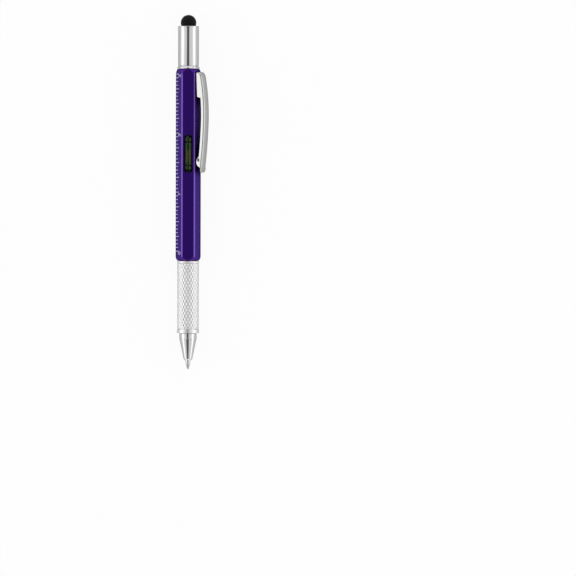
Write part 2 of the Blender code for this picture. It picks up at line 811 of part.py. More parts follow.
def build_cam_sleeve(axis, finish):
    """Sleeve fixed in the barrel, with the spiral slot that drives the refill."""
    cam = add_object("cam_sleeve", ring(cam_bore, cam_radius, cam_bottom, cam_top, outer_sides), axis, finish)
    combine(cam, add_cutter("cam_slot_cutter", spiral_slot(), axis))
    for name, share in (("start", 0), ("end", 1)):
        end = round_slot_end()
        height = pin_rest + refill_travel * share
        turn = -cam_half_turn * share
        combine(cam, add_cutter(f"cam_slot_{name}_cutter", end, axis, (0, height, 0), turn))


def round_slot_end():
    """The pin's working space where a slot ends, standing up from the axis."""
    circle = arc((0, 0), pin_slot_radius, 0, 360, small_sides)[:-1]
    return prism(circle, 0, cam_radius + cut_overrun, along_z)


def spiral_slot():
    """The slot's swept space: half a turn about Y while it climbs by the refill's travel."""
    mean_radius = (cam_bore + cam_radius) / 2
    slope = math.atan2(refill_travel, mean_radius * cam_half_turn)
    half_height = pin_slot_radius / math.cos(slope)
    near = cam_bore - cut_overrun / 2
    far = cam_radius + cut_overrun / 2
    mesh = bmesh.new()
    sections = []
    for step in range(cam_slot_steps + 1):
        share = step / cam_slot_steps
        angle = -cam_half_turn * share
        height = pin_rest + refill_travel * share
        section = rectangle(near, far, height - half_height, height + half_height)
        turned_section = [(reach * math.sin(angle), y, reach * math.cos(angle)) for reach, y in section]
        sections.append([mesh.verts.new(point) for point in turned_section])
    for first, second in zip(sections, sections[1:]):
        for corner in range(4):
            after = (corner + 1) % 4
            mesh.faces.new((first[corner], first[after], second[after], second[corner]))
    mesh.faces.new(sections[0])
    mesh.faces.new(sections[-1])
    bmesh.ops.recalc_face_normals(mesh, faces=mesh.faces)
    return mesh


def build_guide_tube(axis, finish):
    """Tube fixed in the grip: it turns in the cam sleeve, and its straight slot turns the pin with it."""
    groove_bottom = snap_ring_bottom - seat_gap / 2
    groove_top = snap_ring_bottom + snap_ring_height + seat_gap / 2
    groove_radius = guide_radius - snap_ring_depth
    outline = [
        (guide_bore, spigot_top - spigot_length),
        (spigot_radius, spigot_top - spigot_length),
        (spigot_radius, spigot_top),
        (guide_radius, spigot_top),
        (guide_radius, groove_bottom),
        (groove_radius, groove_bottom),
        (groove_radius, groove_top),
        (guide_radius, groove_top),
        (guide_radius, guide_top),
        (guide_bore, guide_top),
    ]
    guide = add_object("guide_tube", turned(outline, outer_sides), axis, finish)
    slot_length = refill_travel + 2 * pin_slot_radius
    slot = prism(slot_outline(slot_length, 2 * pin_slot_radius), 0, guide_radius + cut_overrun, along_z)
    combine(guide, add_cutter("guide_slot_cutter", slot, axis, (0, pin_rest + refill_travel / 2, 0)))


def build_snap_ring(axis, finish):
    """Ring in the guide tube's groove that keeps the grip on the barrel."""
    inner = guide_radius - snap_ring_depth + press_fit
    outer = inner + snap_ring_width
    mesh = ring(inner, outer, snap_ring_bottom, snap_ring_bottom + snap_ring_height, inner_sides)
    add_object("snap_ring", mesh, axis, finish)


def build_friction_washer(axis, finish):
    """Thin washer under the bearing's flange that gives the twist its drag."""
    inner = guide_radius + running_fit
    outer = spigot_radius - washer_margin
    mesh = ring(inner, outer, washer_top - washer_height, washer_top, inner_sides)
    add_object("friction_washer", mesh, axis, finish)


def build_grip(axis, finish):
    """Heavy grip sleeve with a plain ring at its lower end."""
    socket = spigot_radius + press_fit
    nose_socket = nose_spigot_radius + press_fit
    ring_top = grip_bottom + grip_end_ring_length
    groove_top = ring_top + grip_groove_width
    groove_radius = grip_radius - grip_groove_depth
    edge = grip_edge_chamfer
    outline = [
        (nose_socket, grip_bottom),
        (grip_end_ring_radius - edge, grip_bottom),
        (grip_end_ring_radius, grip_bottom + edge),
        (grip_end_ring_radius, ring_top - edge),
        (groove_radius, ring_top),
        (groove_radius, groove_top),
        (grip_radius, groove_top + edge),
        (grip_radius, grip_top - edge),
        (grip_radius - edge, grip_top),
        (socket, grip_top),
        (socket, spigot_top - spigot_length - seat_gap),
        (grip_bore, spigot_top - spigot_length - seat_gap),
        (grip_bore, nose_top + nose_spigot_length + seat_gap),
        (nose_socket, nose_top + nose_spigot_length + seat_gap),
    ]
    add_object("grip_sleeve", turned(outline, outer_sides), axis, finish)


def build_nose(axis, finish):
    """Nose cone, screwed into the grip by its spigot."""
    cone_top = nose_top - nose_collar_length
    slope = (nose_cone_radius - nose_end_radius) / nose_cone_length
    round_start = nose_bottom + nose_end_round
    round_radius = nose_end_radius + slope * nose_end_round
    mouth = nose_bore - nose_bore_fit + running_fit
    outline = [
        (mouth, nose_bottom),
        (mouth + nose_tip_wall / 2, nose_bottom),
        (round_radius - nose_tip_wall / 2, nose_bottom + nose_end_round / 3),
        (round_radius, round_start),
        (nose_cone_radius, cone_top),
        (nose_collar_radius, cone_top + nose_edge_chamfer / 2),
        (nose_collar_radius, nose_top - nose_edge_chamfer),
        (nose_collar_radius - nose_edge_chamfer, nose_top),
        (nose_spigot_radius, nose_top),
        (nose_spigot_radius, nose_top + nose_spigot_length),
        (nose_bore, nose_top + nose_spigot_length),
        (nose_bore, nose_bottom + nose_end_round),
        (mouth, nose_bottom + nose_end_round / 2),
    ]
    add_object("nose_cone", turned(outline, outer_sides), axis, finish)


def build_carrier(axis, finish):
    """Slider that holds the refill's end and the cross pin."""
    outline = [
        (carrier_bore, carrier_bottom),
        (carrier_radius, carrier_bottom),
        (carrier_radius, carrier_top),
        (0, carrier_top),
        (0, refill_end + seat_gap),
        (carrier_bore, refill_end + seat_gap),
    ]
    mesh = turned_with_blind_bore(outline)
    carrier = add_object("refill_carrier", mesh, axis, finish)
    hole_outline = arc((0, 0), pin_radius + press_fit, 0, 360, small_sides)[:-1]
    hole = prism(hole_outline, -guide_bore, guide_bore, along_z)
    combine(carrier, add_cutter("pin_hole_cutter", hole, axis, (0, pin_rest, 0)))


def turned_with_blind_bore(outline):
    """A round body whose outline crosses the axis twice, so the edge on the axis is left out."""
    start = next(index for index, point in enumerate(outline) if point[0] == 0) + 1
    return turned(outline[start:] + outline[:start], inner_sides)


def build_cross_pin(axis, finish):
    """Pin through the carrier: it stands in both slots."""
    circle = arc((0, 0), pin_radius, 0, 360, small_sides)[:-1]
    tail = -carrier_radius + pin_tail_inset
    mesh = prism(circle, tail, cam_radius - press_fit, along_z)
    add_object("cross_pin", mesh, axis, finish, (0, pin_rest, 0))


def build_refill(axis, finishes):
    """Metal refill: tube, point and ball."""
    bore = refill_radius - refill_tube_wall
    tube_bottom = nib + tip_visible_length + press_fit
    tube = ring(bore, refill_radius, tube_bottom, refill_end, small_sides)
    add_object("refill_tube", tube, axis, finishes["tube"])
    shoulder = refill_radius - tip_shoulder_inset
    socket = ball_radius + ball_clearance
    lip = nib + ball_show
    outline = [
        (0, lip + ball_socket_depth),
        (socket, lip + ball_socket_depth),
        (socket, lip),
        (tip_lip_radius, lip),
        (tip_neck_radius, nib + tip_neck_start),
        (tip_cone_radius, nib + tip_cone_start),
        (shoulder, nib + nib_reach),
        (shoulder, nib + tip_visible_length),
        (bore - press_fit, nib + tip_visible_length),
        (bore - press_fit, nib + tip_visible_length + tip_stem_length),
        (0, nib + tip_visible_length + tip_stem_length),
    ]
    add_object("refill_tip", turned(outline, small_sides), axis, finishes["tip"])
    ball = bmesh.new()
    ball_sides = small_sides // 2
    bmesh.ops.create_uvsphere(ball, u_segments=ball_sides, v_segments=ball_sides, radius=ball_radius)
    add_object("writing_ball", ball, axis, finishes["ball"], (0, nib + ball_radius, 0))


def build_pen():
    """Places every piece on the pen's axis."""
    lacquer = material("violet_lacquer", violet, 0.22, 0.5)
    bright = material("bright_chrome", chrome, 0.12, 1)
    satin = material("satin_chrome", chrome, 0.28, 1)
    plain_steel = material("plain_steel", steel, 0.35, 1)
    plain_brass = material("plain_brass", brass, 0.3, 1)
    tool_steel = material("tool_steel", graphite, 0.4, 1)
    rubber = material("black_rubber", black, 0.6, 0)
    plastic = material("black_plastic", black, 0.4, 0)
    pale_plastic = material("pale_plastic", white, 0.45, 0)
    clear = material("clear_vial", glass, 0.05, 0)
    fluid = material("level_fluid_green", green, 0.1, 0)
    air = material("level_bubble_olive", olive, 0.1, 0)

    axis = add_empty("pen_axis", (0, 0, flat_height))
    clip_root = Matrix.Rotation(clip_face_angle, 4, "Y") @ Vector((0, clip_top, flat_height))
    clip_axis = add_empty("clip_axis", clip_root, axis)
    clip_axis.rotation_euler = (0, clip_face_angle, 0)

    build_barrel(axis, lacquer)
    build_collar(axis, bright)
    build_cap_seal(axis, rubber)
    build_bit_socket(axis, plain_brass)
    build_bit_magnet(axis, plain_steel)
    build_driver_bit(axis, tool_steel)
    build_cap(axis, bright)
    build_stylus_core(axis, plain_brass)
    build_stylus_tip(axis, rubber)
    build_clip(clip_axis, satin)
    level_finishes = {
        "frame": plastic,
        "vial": clear,
        "plug": plastic,
        "mark": plastic,
        "fluid": fluid,
        "bubble": air,
    }
    build_level(axis, level_finishes)
    build_bearing(axis, bright)
    build_cam_sleeve(axis, plain_brass)
    build_guide_tube(axis, plain_brass)
    build_snap_ring(axis, plain_steel)
    build_friction_washer(axis, pale_plastic)
    build_grip(axis, bright)
    build_nose(axis, bright)
    build_carrier(axis, pale_plastic)
    build_cross_pin(axis, plain_steel)
    build_refill(axis, {"tube": plain_steel, "tip": plain_brass, "ball": plain_steel})


for leftover in list(bpy.data.objects):
    bpy.data.objects.remove(leftover)
build_pen()
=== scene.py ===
import math

import bmesh
import bpy
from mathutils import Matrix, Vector


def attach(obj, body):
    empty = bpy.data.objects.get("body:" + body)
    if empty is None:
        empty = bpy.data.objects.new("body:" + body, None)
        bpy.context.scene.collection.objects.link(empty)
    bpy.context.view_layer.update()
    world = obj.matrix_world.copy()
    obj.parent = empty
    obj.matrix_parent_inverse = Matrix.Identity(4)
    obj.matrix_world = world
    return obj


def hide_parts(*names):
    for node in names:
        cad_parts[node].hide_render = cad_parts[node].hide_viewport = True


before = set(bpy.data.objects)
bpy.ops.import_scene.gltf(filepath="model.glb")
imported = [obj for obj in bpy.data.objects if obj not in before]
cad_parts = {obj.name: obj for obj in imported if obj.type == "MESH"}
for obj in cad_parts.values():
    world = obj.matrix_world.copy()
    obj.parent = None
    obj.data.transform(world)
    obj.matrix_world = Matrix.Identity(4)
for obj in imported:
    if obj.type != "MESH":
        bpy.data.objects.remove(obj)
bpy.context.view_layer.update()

MM = 0.001

# Places along the pen's axis and radii, in mm, as the CAD has them
AXIS_HEIGHT = 4.825
BARREL_TOP = 41.35
BARREL_BOTTOM = -41.35
FLAT_END = 39.35
COLLAR_BOTTOM = 41.45
COLLAR_TOP = 42.65
NECK_TOP = 46.25
NECK_RADIUS = 3.585
NECK_BORE = 2.885
CAP_BOTTOM = 42.75
CAP_TOP = 59.75
CAP_RADIUS = 4.485
CAP_BORE = 3.685
STYLUS_BOTTOM = 59.85
FLANGE_TOP = -41.45
FLANGE_BOTTOM = -42.2
GRIP_TOP = -42.3
GRIP_BOTTOM = -72.45
GRIP_RADIUS = 4.68
NOSE_TOP = -72.55
CONE_TOP = -74.95
NOSE_BOTTOM = -83.95
NIB = -87.95
LEVEL_CENTRE = 4.75
VIAL_HEIGHT = 7.8
CLIP_TOP = 39.85
CLIP_LENGTH = 43.2
BUBBLE_REST = -0.9

# Scale and size of the photograph
MM_PER_PIXEL = 0.4305
PHOTO_PIXELS = 576

# Share of the floor that glows by itself, so that it reads as white: to the camera and in mirrors
CAMERA_GLOW = 0.92
MIRROR_GLOW = 0.3

# The lacquer: where a painted highlight makes its corners paler, in metres, and how far its painted shade
# reaches
CORNER_HIGHLIGHT_SPAN = (0.005366, 0.005372)
SHADE_REACH = 0.0045
SHADE_SPAN = (0.52, 0.96)
# Painted shade on the outermost left and right sides: where it starts and ends across the axis, in metres,
# and how much light stays
SIDE_SHADE_SPAN = (0.0047, 0.0053)
SIDE_SHADE_SHARE = 0.35


# ---------------------------------------------------------------- finishes


def new_finish(name, colour, roughness, metallic=0.0):
    """A Principled finish with its colour, roughness and metallic set."""
    finish = bpy.data.materials.new(name)
    finish.use_nodes = True
    shader = finish.node_tree.nodes["Principled BSDF"]
    shader.inputs["Base Color"].default_value = (*colour, 1)
    shader.inputs["Roughness"].default_value = roughness
    shader.inputs["Metallic"].default_value = metallic
    return finish, finish.node_tree, shader


def noise(tree, scale, detail=3.0, stretch=(1, 1, 1)):
    """Noise in object space: scale is in waves per metre, stretch lengthens it along an axis."""
    place = tree.nodes.new("ShaderNodeTexCoord")
    mapping = tree.nodes.new("ShaderNodeMapping")
    mapping.inputs["Scale"].default_value = tuple(scale / s for s in stretch)
    texture = tree.nodes.new("ShaderNodeTexNoise")
    texture.inputs["Scale"].default_value = 1.0
    texture.inputs["Detail"].default_value = detail
    tree.links.new(place.outputs["Object"], mapping.inputs["Vector"])
    tree.links.new(mapping.outputs["Vector"], texture.inputs["Vector"])
    return texture.outputs["Fac"]


def ramp_between(tree, value, low, high, start=0.3, end=0.7):
    """A value mapped onto the stretch from low to high."""
    node = tree.nodes.new("ShaderNodeMapRange")
    node.inputs["From Min"].default_value = start
    node.inputs["From Max"].default_value = end
    node.inputs["To Min"].default_value = low
    node.inputs["To Max"].default_value = high
    tree.links.new(value, node.inputs["Value"])
    return node.outputs["Result"]


def colour_between(tree, value, low, high, start=0.35, end=0.65):
    """A colour ramp driven by a value."""
    node = tree.nodes.new("ShaderNodeValToRGB")
    node.color_ramp.elements[0].position = start
    node.color_ramp.elements[0].color = (*low, 1)
    node.color_ramp.elements[1].position = end
    node.color_ramp.elements[1].color = (*high, 1)
    tree.links.new(value, node.inputs["Fac"])
    return node.outputs["Color"]


def add_bump(tree, shader, value, strength, distance):
    """Fine relief from a value, its height in metres."""
    bump = tree.nodes.new("ShaderNodeBump")
    bump.inputs["Strength"].default_value = strength
    bump.inputs["Distance"].default_value = distance
    tree.links.new(value, bump.inputs["Height"])
    tree.links.new(bump.outputs["Normal"], shader.inputs["Normal"])


def metal(name, colour, dull, bright, grain, stretch, relief, edge):
    """A metal whose tone and gloss vary along its grain; edge is its tint at a glancing angle."""
    finish, tree, shader = new_finish(name, colour, bright, 1.0)
    shader.inputs["Specular Tint"].default_value = (edge, edge, edge, 1)
    value = noise(tree, grain, 4.0, stretch)
    tree.links.new(ramp_between(tree, value, bright, dull), shader.inputs["Roughness"])
    darker = tuple(c * 0.95 for c in colour)
    tree.links.new(colour_between(tree, value, darker, colour), shader.inputs["Base Color"])
    add_bump(tree, shader, value, relief, 0.00002)
    return finish


def calculate(tree, operation, first, second=0.0):
    """A math node over sockets or numbers."""
    node = tree.nodes.new("ShaderNodeMath")
    node.operation = operation
    for socket, value in zip(node.inputs, (first, second)):
        if isinstance(value, (int, float)):
            socket.default_value = value
        else:
            tree.links.new(value, socket)
    return node.outputs["Value"]


def blend_colours(tree, share, first, second):
    """A colour between two others, each a socket or a plain colour."""
    node = tree.nodes.new("ShaderNodeMix")
    node.data_type = "RGBA"
    tree.links.new(share, node.inputs["Factor"])
    for socket, value in ((node.inputs[6], first), (node.inputs[7], second)):
        if isinstance(value, tuple):
            socket.default_value = (*value, 1)
        else:
            tree.links.new(value, socket)
    return node.outputs[2]


def lacquer():
    """Violet dyed metal under a clear coat, paler on the corners as a painted highlight, with painted shade
    on colour and coat where little sky reaches and on its far sides.
    """
    finish, tree, shader = new_finish("violet_lacquer_coat", (0.057, 0.0065, 0.165), 0.3, 1.0)
    shader.inputs["Specular Tint"].default_value = (0.2, 0.2, 0.3, 1)
    flakes = noise(tree, 12000, 2.0)
    face = colour_between(tree, flakes, (0.055, 0.006, 0.159), (0.059, 0.007, 0.171))
    # Painted highlight: the paler colour laid on the rounded corners
    edge = colour_between(tree, flakes, (0.11, 0.052, 0.29), (0.12, 0.058, 0.31))

    place = tree.nodes.new("ShaderNodeTexCoord")
    split = tree.nodes.new("ShaderNodeSeparateXYZ")
    tree.links.new(place.outputs["Object"], split.inputs["Vector"])
    rise = calculate(tree, "SUBTRACT", split.outputs["Z"], AXIS_HEIGHT * MM)
    squares = [calculate(tree, "MULTIPLY", value, value) for value in (split.outputs["X"], rise)]
    radius = calculate(tree, "SQRT", calculate(tree, "ADD", *squares))
    # Painted highlight mask: 1 on the corners, by distance from the axis
    corner = ramp_between(tree, radius, 0.0, 1.0, *CORNER_HIGHLIGHT_SPAN)
    dye_and_painted_light = blend_colours(tree, corner, face, edge)

    # Painted shade: ambient occlusion darkens the colour, the haze and the coat under the clip and in
    # recesses
    shade = tree.nodes.new("ShaderNodeAmbientOcclusion")
    shade.samples = 4
    shade.only_local = False
    shade.inputs["Distance"].default_value = SHADE_REACH
    open_sky = ramp_between(tree, shade.outputs["AO"], 0.0, 1.0, *SHADE_SPAN)
    # Painted shade on the outermost left and right sides, by distance across from the axis
    aside = calculate(tree, "ABSOLUTE", split.outputs["X"])
    painted_side_shade = ramp_between(tree, aside, 1.0, SIDE_SHADE_SHARE, *SIDE_SHADE_SPAN)
    open_sky = calculate(tree, "MULTIPLY", open_sky, painted_side_shade)
    # Painted shade: shaded places take a near-black colour
    dye_and_painted_light = blend_colours(tree, open_sky, (0.01, 0.003, 0.018), dye_and_painted_light)
    tree.links.new(dye_and_painted_light, shader.inputs["Base Color"])
    tree.links.new(ramp_between(tree, noise(tree, 300, 2.0), 0.29, 0.31), shader.inputs["Roughness"])
    # Painted shade: the coat fades where shaded
    tree.links.new(calculate(tree, "MULTIPLY", open_sky, 0.3), shader.inputs["Coat Weight"])
    shader.inputs["Coat Roughness"].default_value = 0.05
    shader.inputs["Coat IOR"].default_value = 1.5

    scatter = tree.nodes.new("ShaderNodeBsdfDiffuse")
    haze = colour_between(tree, flakes, (0.0, 0.001, 0.043), (0.001, 0.0014, 0.047))
    # Painted shade: the haze goes near black where shaded
    tree.links.new(blend_colours(tree, open_sky, (0.001, 0.0005, 0.004), haze), scatter.inputs["Color"])
    both = tree.nodes.new("ShaderNodeAddShader")
    tree.links.new(shader.outputs["BSDF"], both.inputs[0])
    tree.links.new(scatter.outputs["BSDF"], both.inputs[1])
    tree.links.new(both.outputs["Shader"], tree.nodes["Material Output"].inputs["Surface"])
    return finish


def moulded(name, low, high, roughness, grain=2500.0, relief=0.15):
    """Plastic or rubber with a fine moulded skin."""
    finish, tree, shader = new_finish(name, high, roughness)
    value = noise(tree, grain, 3.0)
    tree.links.new(colour_between(tree, value, low, high), shader.inputs["Base Color"])
    tree.links.new(ramp_between(tree, value, roughness - 0.06, roughness + 0.06), shader.inputs["Roughness"])
    add_bump(tree, shader, value, relief, 0.00002)
    return finish


def clear_glass():
    """Clear thin shell of the level: what lies under it shows, with the sky's reflection over it."""
    finish = bpy.data.materials.new("vial_glass")
    finish.use_nodes = True
    tree = finish.node_tree
    tree.nodes.remove(tree.nodes["Principled BSDF"])
    clear = tree.nodes.new("ShaderNodeBsdfTransparent")
    clear.inputs["Color"].default_value = (0.95, 0.97, 0.95, 1)
    shine = tree.nodes.new("ShaderNodeBsdfGlossy")
    haze = ramp_between(tree, noise(tree, 900, 2.0, (1, 4, 1)), 0.03, 0.07)
    tree.links.new(haze, shine.inputs["Roughness"])
    fresnel = tree.nodes.new("ShaderNodeFresnel")
    fresnel.inputs["IOR"].default_value = 1.47
    mix = tree.nodes.new("ShaderNodeMixShader")
    side = tree.nodes.new("ShaderNodeNewGeometry")
    front = calculate(tree, "SUBTRACT", 1.0, side.outputs["Backfacing"])
    shown = calculate(tree, "MULTIPLY", front, 0.55)
    tree.links.new(calculate(tree, "MULTIPLY", fresnel.outputs["Fac"], shown), mix.inputs["Fac"])
    tree.links.new(clear.outputs["BSDF"], mix.inputs[1])
    tree.links.new(shine.outputs["BSDF"], mix.inputs[2])
    tree.links.new(mix.outputs["Shader"], tree.nodes["Material Output"].inputs["Surface"])
    return finish


def liquid(name, middle, side, painted_rim_light):
    """Dyed liquid, or the air in it, as the round tube shows it, with painted light: painted shade in the
    middle, paler painted light at the sides and rim.
    """
    finish, tree, shader = new_finish(name, side, 0.4)
    place = tree.nodes.new("ShaderNodeTexCoord")
    split = tree.nodes.new("ShaderNodeSeparateXYZ")
    tree.links.new(place.outputs["Object"], split.inputs["Vector"])
    aside = calculate(tree, "ABSOLUTE", split.outputs["X"])
    wander = calculate(tree, "MULTIPLY", noise(tree, 900, 2.0, (1, 3, 1)), 0.0003)
    share = calculate(tree, "ADD", aside, calculate(tree, "SUBTRACT", wander, 0.00015))
    # Painted light across the tube: dark middle, paler sides, palest rim
    ramp = tree.nodes.new("ShaderNodeValToRGB")
    elements = ramp.color_ramp.elements
    elements.new(0.5)
    for element, place, colour in zip(elements, (0.15, 0.5, 1.0), (middle, side, painted_rim_light)):
        element.position = place
        element.color = (*colour, 1)
    tree.links.new(ramp_between(tree, share, 0.0, 1.0, 0.0, 0.0014), ramp.inputs["Fac"])
    tree.links.new(ramp.outputs["Color"], shader.inputs["Base Color"])
    shader.inputs["Specular IOR Level"].default_value = 0.0
    return finish


LACQUER = lacquer()
BRIGHT = metal("bright_chrome_plate", (0.6, 0.6, 0.602), 0.1, 0.05, 3000, (1, 0.25, 1), 0.02, 0.65)
KNURLED = metal("knurled_chrome_plate", (0.725, 0.725, 0.727), 0.42, 0.36, 4000, (1, 1, 1), 0.03, 0.6)
SOFT = metal("soft_chrome_plate", (0.8, 0.79, 0.81), 0.46, 0.4, 3000, (1, 0.25, 1), 0.02, 0.7)
SATIN = metal("satin_chrome_plate", (0.5, 0.5, 0.493), 0.22, 0.14, 4000, (1, 30, 1), 0.05, 0.4)
STEEL = metal("ground_steel", (0.42, 0.42, 0.43), 0.34, 0.22, 4000, (1, 0.2, 1), 0.08, 0.6)
BRASS = metal("turned_brass", (0.72, 0.5, 0.2), 0.34, 0.22, 4000, (1, 0.2, 1), 0.08, 0.9)
TOOL = metal("oxide_tool_steel", (0.12, 0.12, 0.125), 0.42, 0.3, 5000, (1, 1, 1), 0.12, 0.7)
RUBBER = moulded("stylus_rubber", (0.003, 0.003, 0.003), (0.006, 0.006, 0.006), 0.6, 5000, 0.2)
BLACK = moulded("black_moulding", (0.004, 0.004, 0.005), (0.008, 0.008, 0.009), 0.45)
PALE = moulded("pale_moulding", (0.68, 0.68, 0.65), (0.76, 0.76, 0.74), 0.45)
PRINT = moulded("ruler_paint", (0.5, 0.44, 0.63), (0.58, 0.52, 0.7), 0.5, 6000, 0.1)
GLASS = clear_glass()
# Liquid and bubble colours: the middle as painted shade, the sides and rim as painted light
FLUID = liquid("green_fluid", (0.002, 0.018, 0.0), (0.038, 0.07, 0.026), (0.16, 0.21, 0.17))
AIR = liquid("olive_bubble", (0.024, 0.028, 0.002), (0.075, 0.078, 0.038), (0.17, 0.15, 0.13))
for dark in (RUBBER, BLACK):
    dark.node_tree.nodes["Principled BSDF"].inputs["Specular IOR Level"].default_value = 0.1


# ---------------------------------------------------------------- mesh helpers


def add_piece(name, points, faces, finish, body, replaced=(), sharp=35, weld=0.0005):
    """A closed mesh from points in mm, riding on its body."""
    mesh = bmesh.new()
    corners = [mesh.verts.new(Vector(point) * MM) for point in points]
    for face in faces:
        mesh.faces.new([corners[index] for index in face])
    bmesh.ops.remove_doubles(mesh, verts=mesh.verts, dist=weld * MM)
    bmesh.ops.recalc_face_normals(mesh, faces=mesh.faces)
    data = bpy.data.meshes.new(name)
    mesh.to_mesh(data)
    mesh.free()
    data.materials.append(finish)
    piece = bpy.data.objects.new(name, data)
    bpy.context.scene.collection.objects.link(piece)
    smooth(piece, sharp)
    if body:
        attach(piece, body)
        if replaced:
            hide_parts(*replaced)
    return piece


def smooth(piece, sharp):
    """Smooth shading that breaks at edges sharper than the angle."""
    piece.data.shade_smooth()
    piece.data.set_sharp_from_angle(angle=math.radians(sharp))


def cut(piece, points, faces, sharp=35):
    """Cuts a closed shape out of a piece and keeps the result as its mesh."""
    tool = add_piece(piece.name + "_tool", points, faces, BLACK, None)
    modifier = piece.modifiers.new("cut", "BOOLEAN")
    modifier.operation = "DIFFERENCE"
    modifier.solver = "EXACT"
    modifier.object = tool
    graph = bpy.context.evaluated_depsgraph_get()
    result = bpy.data.meshes.new_from_object(piece.evaluated_get(graph))
    piece.modifiers.clear()
    piece.data = result
    while len(result.materials) > 1:
        result.materials.pop()
    for polygon in result.polygons:
        polygon.material_index = 0
    bpy.data.objects.remove(tool)
    smooth(piece, sharp)


def rounded(outline, steps=4, closed=True):
    """An outline of (a, b, fillet) points, each corner turned into an arc of its fillet."""
    points = []
    count = len(outline)
    for index, (a, b, fillet) in enumerate(outline):
        if fillet <= 0 or (not closed and index in (0, count - 1)):
            points.append((a, b))
            continue
        here = Vector((a, b))
        before = Vector(outline[index - 1][:2]) - here
        after = Vector(outline[(index + 1) % count][:2]) - here
        half = before.angle(after) / 2
        reach = min(fillet / math.tan(half), before.length * 0.49, after.length * 0.49)
        start = here + before.normalized() * reach
        end = here + after.normalized() * reach
        for step in range(steps + 1):
            share = step / steps
            first = start.lerp(here, share)
            second = here.lerp(end, share)
            middle = first.lerp(second, share)
            points.append(tuple(middle))
    return points


def lathe(profile, sides, centre=(0.0, AXIS_HEIGHT)):
    """A round body about an axis along Y, from (radius, y) points."""
    points, faces, rings = [], [], []
    for radius, y in profile:
        if radius < 1e-6:
            rings.append([len(points)])
            points.append((centre[0], y, centre[1]))
            continue
        rings.append(range(len(points), len(points) + sides))
        for side in range(sides):
            angle = 2 * math.pi * side / sides
            points.append((centre[0] + radius * math.sin(angle), y, centre[1] + radius * math.cos(angle)))
    pairs = list(zip(rings, rings[1:]))
    if profile[0][0] > 0 and profile[-1][0] > 0:
        pairs.append((rings[-1], rings[0]))
    for first, second in pairs:
        for side in range(sides):
            after = (side + 1) % sides
            face = []
            for ring, place in ((first, side), (first, after), (second, after), (second, side)):
                corner = ring[place % len(ring)]
                if corner not in face:
                    face.append(corner)
            faces.append(face)
    return points, faces


def skin(rows, close_ends=True):
    """A closed body from rows of points, each row a loop."""
    width = len(rows[0])
    points = [point for row in rows for point in row]
    faces = []
    for row in range(len(rows) - 1):
        for column in range(width):
            after = (column + 1) % width
            low, high = row * width, (row + 1) * width
            faces.append((low + column, low + after, high + after, high + column))
    if close_ends:
        faces.append(tuple(range(width)))
        faces.append(tuple(range((len(rows) - 1) * width, len(rows) * width)))
    return points, faces


def slab(outline, low, high, place):
    """A straight body: an outline in (a, b) between two depths."""
    return skin([[place(a, b, depth) for a, b in outline] for depth in (low, high)])


def slot_shape(length, width, steps=12):
    """A long hole with round ends along the second axis."""
    reach = (length - width) / 2
    points = []
    for start, centre in ((0, reach), (180, -reach)):
        for step in range(steps + 1):
            angle = math.radians(start + 180 * step / steps)
            points.append((width / 2 * math.cos(angle), centre + width / 2 * math.sin(angle)))
    return points


def rounded_weights(piece):
    """Lets the large flat faces set the normals at their edges."""
    modifier = piece.modifiers.new("weighted", "WEIGHTED_NORMAL")
    modifier.keep_sharp = True
    modifier.weight = 80


# ---------------------------------------------------------------- barrel

HEX_CORNER = 0.75
HEX_FLAT = 4.825
HEX_REACH = 5.3856


def hexagon_row(limit, steps=8, strips=8):
    """Rounded hexagon in (x, z), held inside a circle."""
    reach = (HEX_FLAT - HEX_CORNER) / math.cos(math.radians(30))
    corners = []
    for corner in range(6):
        middle = math.radians(60 * corner)
        for step in range(steps + 1):
            angle = middle + math.radians(-30 + 60 * step / steps)
            corners.append(
                (
                    reach * math.cos(middle) + HEX_CORNER * math.cos(angle),
                    reach * math.sin(middle) + HEX_CORNER * math.sin(angle),
                )
            )
    row = []
    for index, (x, z) in enumerate(corners):
        row.append((x, z))
        if index % (steps + 1) == steps:
            nx, nz = corners[(index + 1) % len(corners)]
            for strip in range(1, strips):
                share = strip / strips
                row.append((x + (nx - x) * share, z + (nz - z) * share))
    held = []
    for x, z in row:
        length = math.hypot(x, z)
        scale = min(1.0, limit / length)
        held.append((x * scale, z * scale))
    return held


def circle_row(radius, steps=8, strips=8):
    """A circle with the same number of points as the hexagon's row."""
    row = []
    for x, z in hexagon_row(99.0, steps, strips):
        length = math.hypot(x, z)
        row.append((x / length * radius, z / length * radius))
    return row


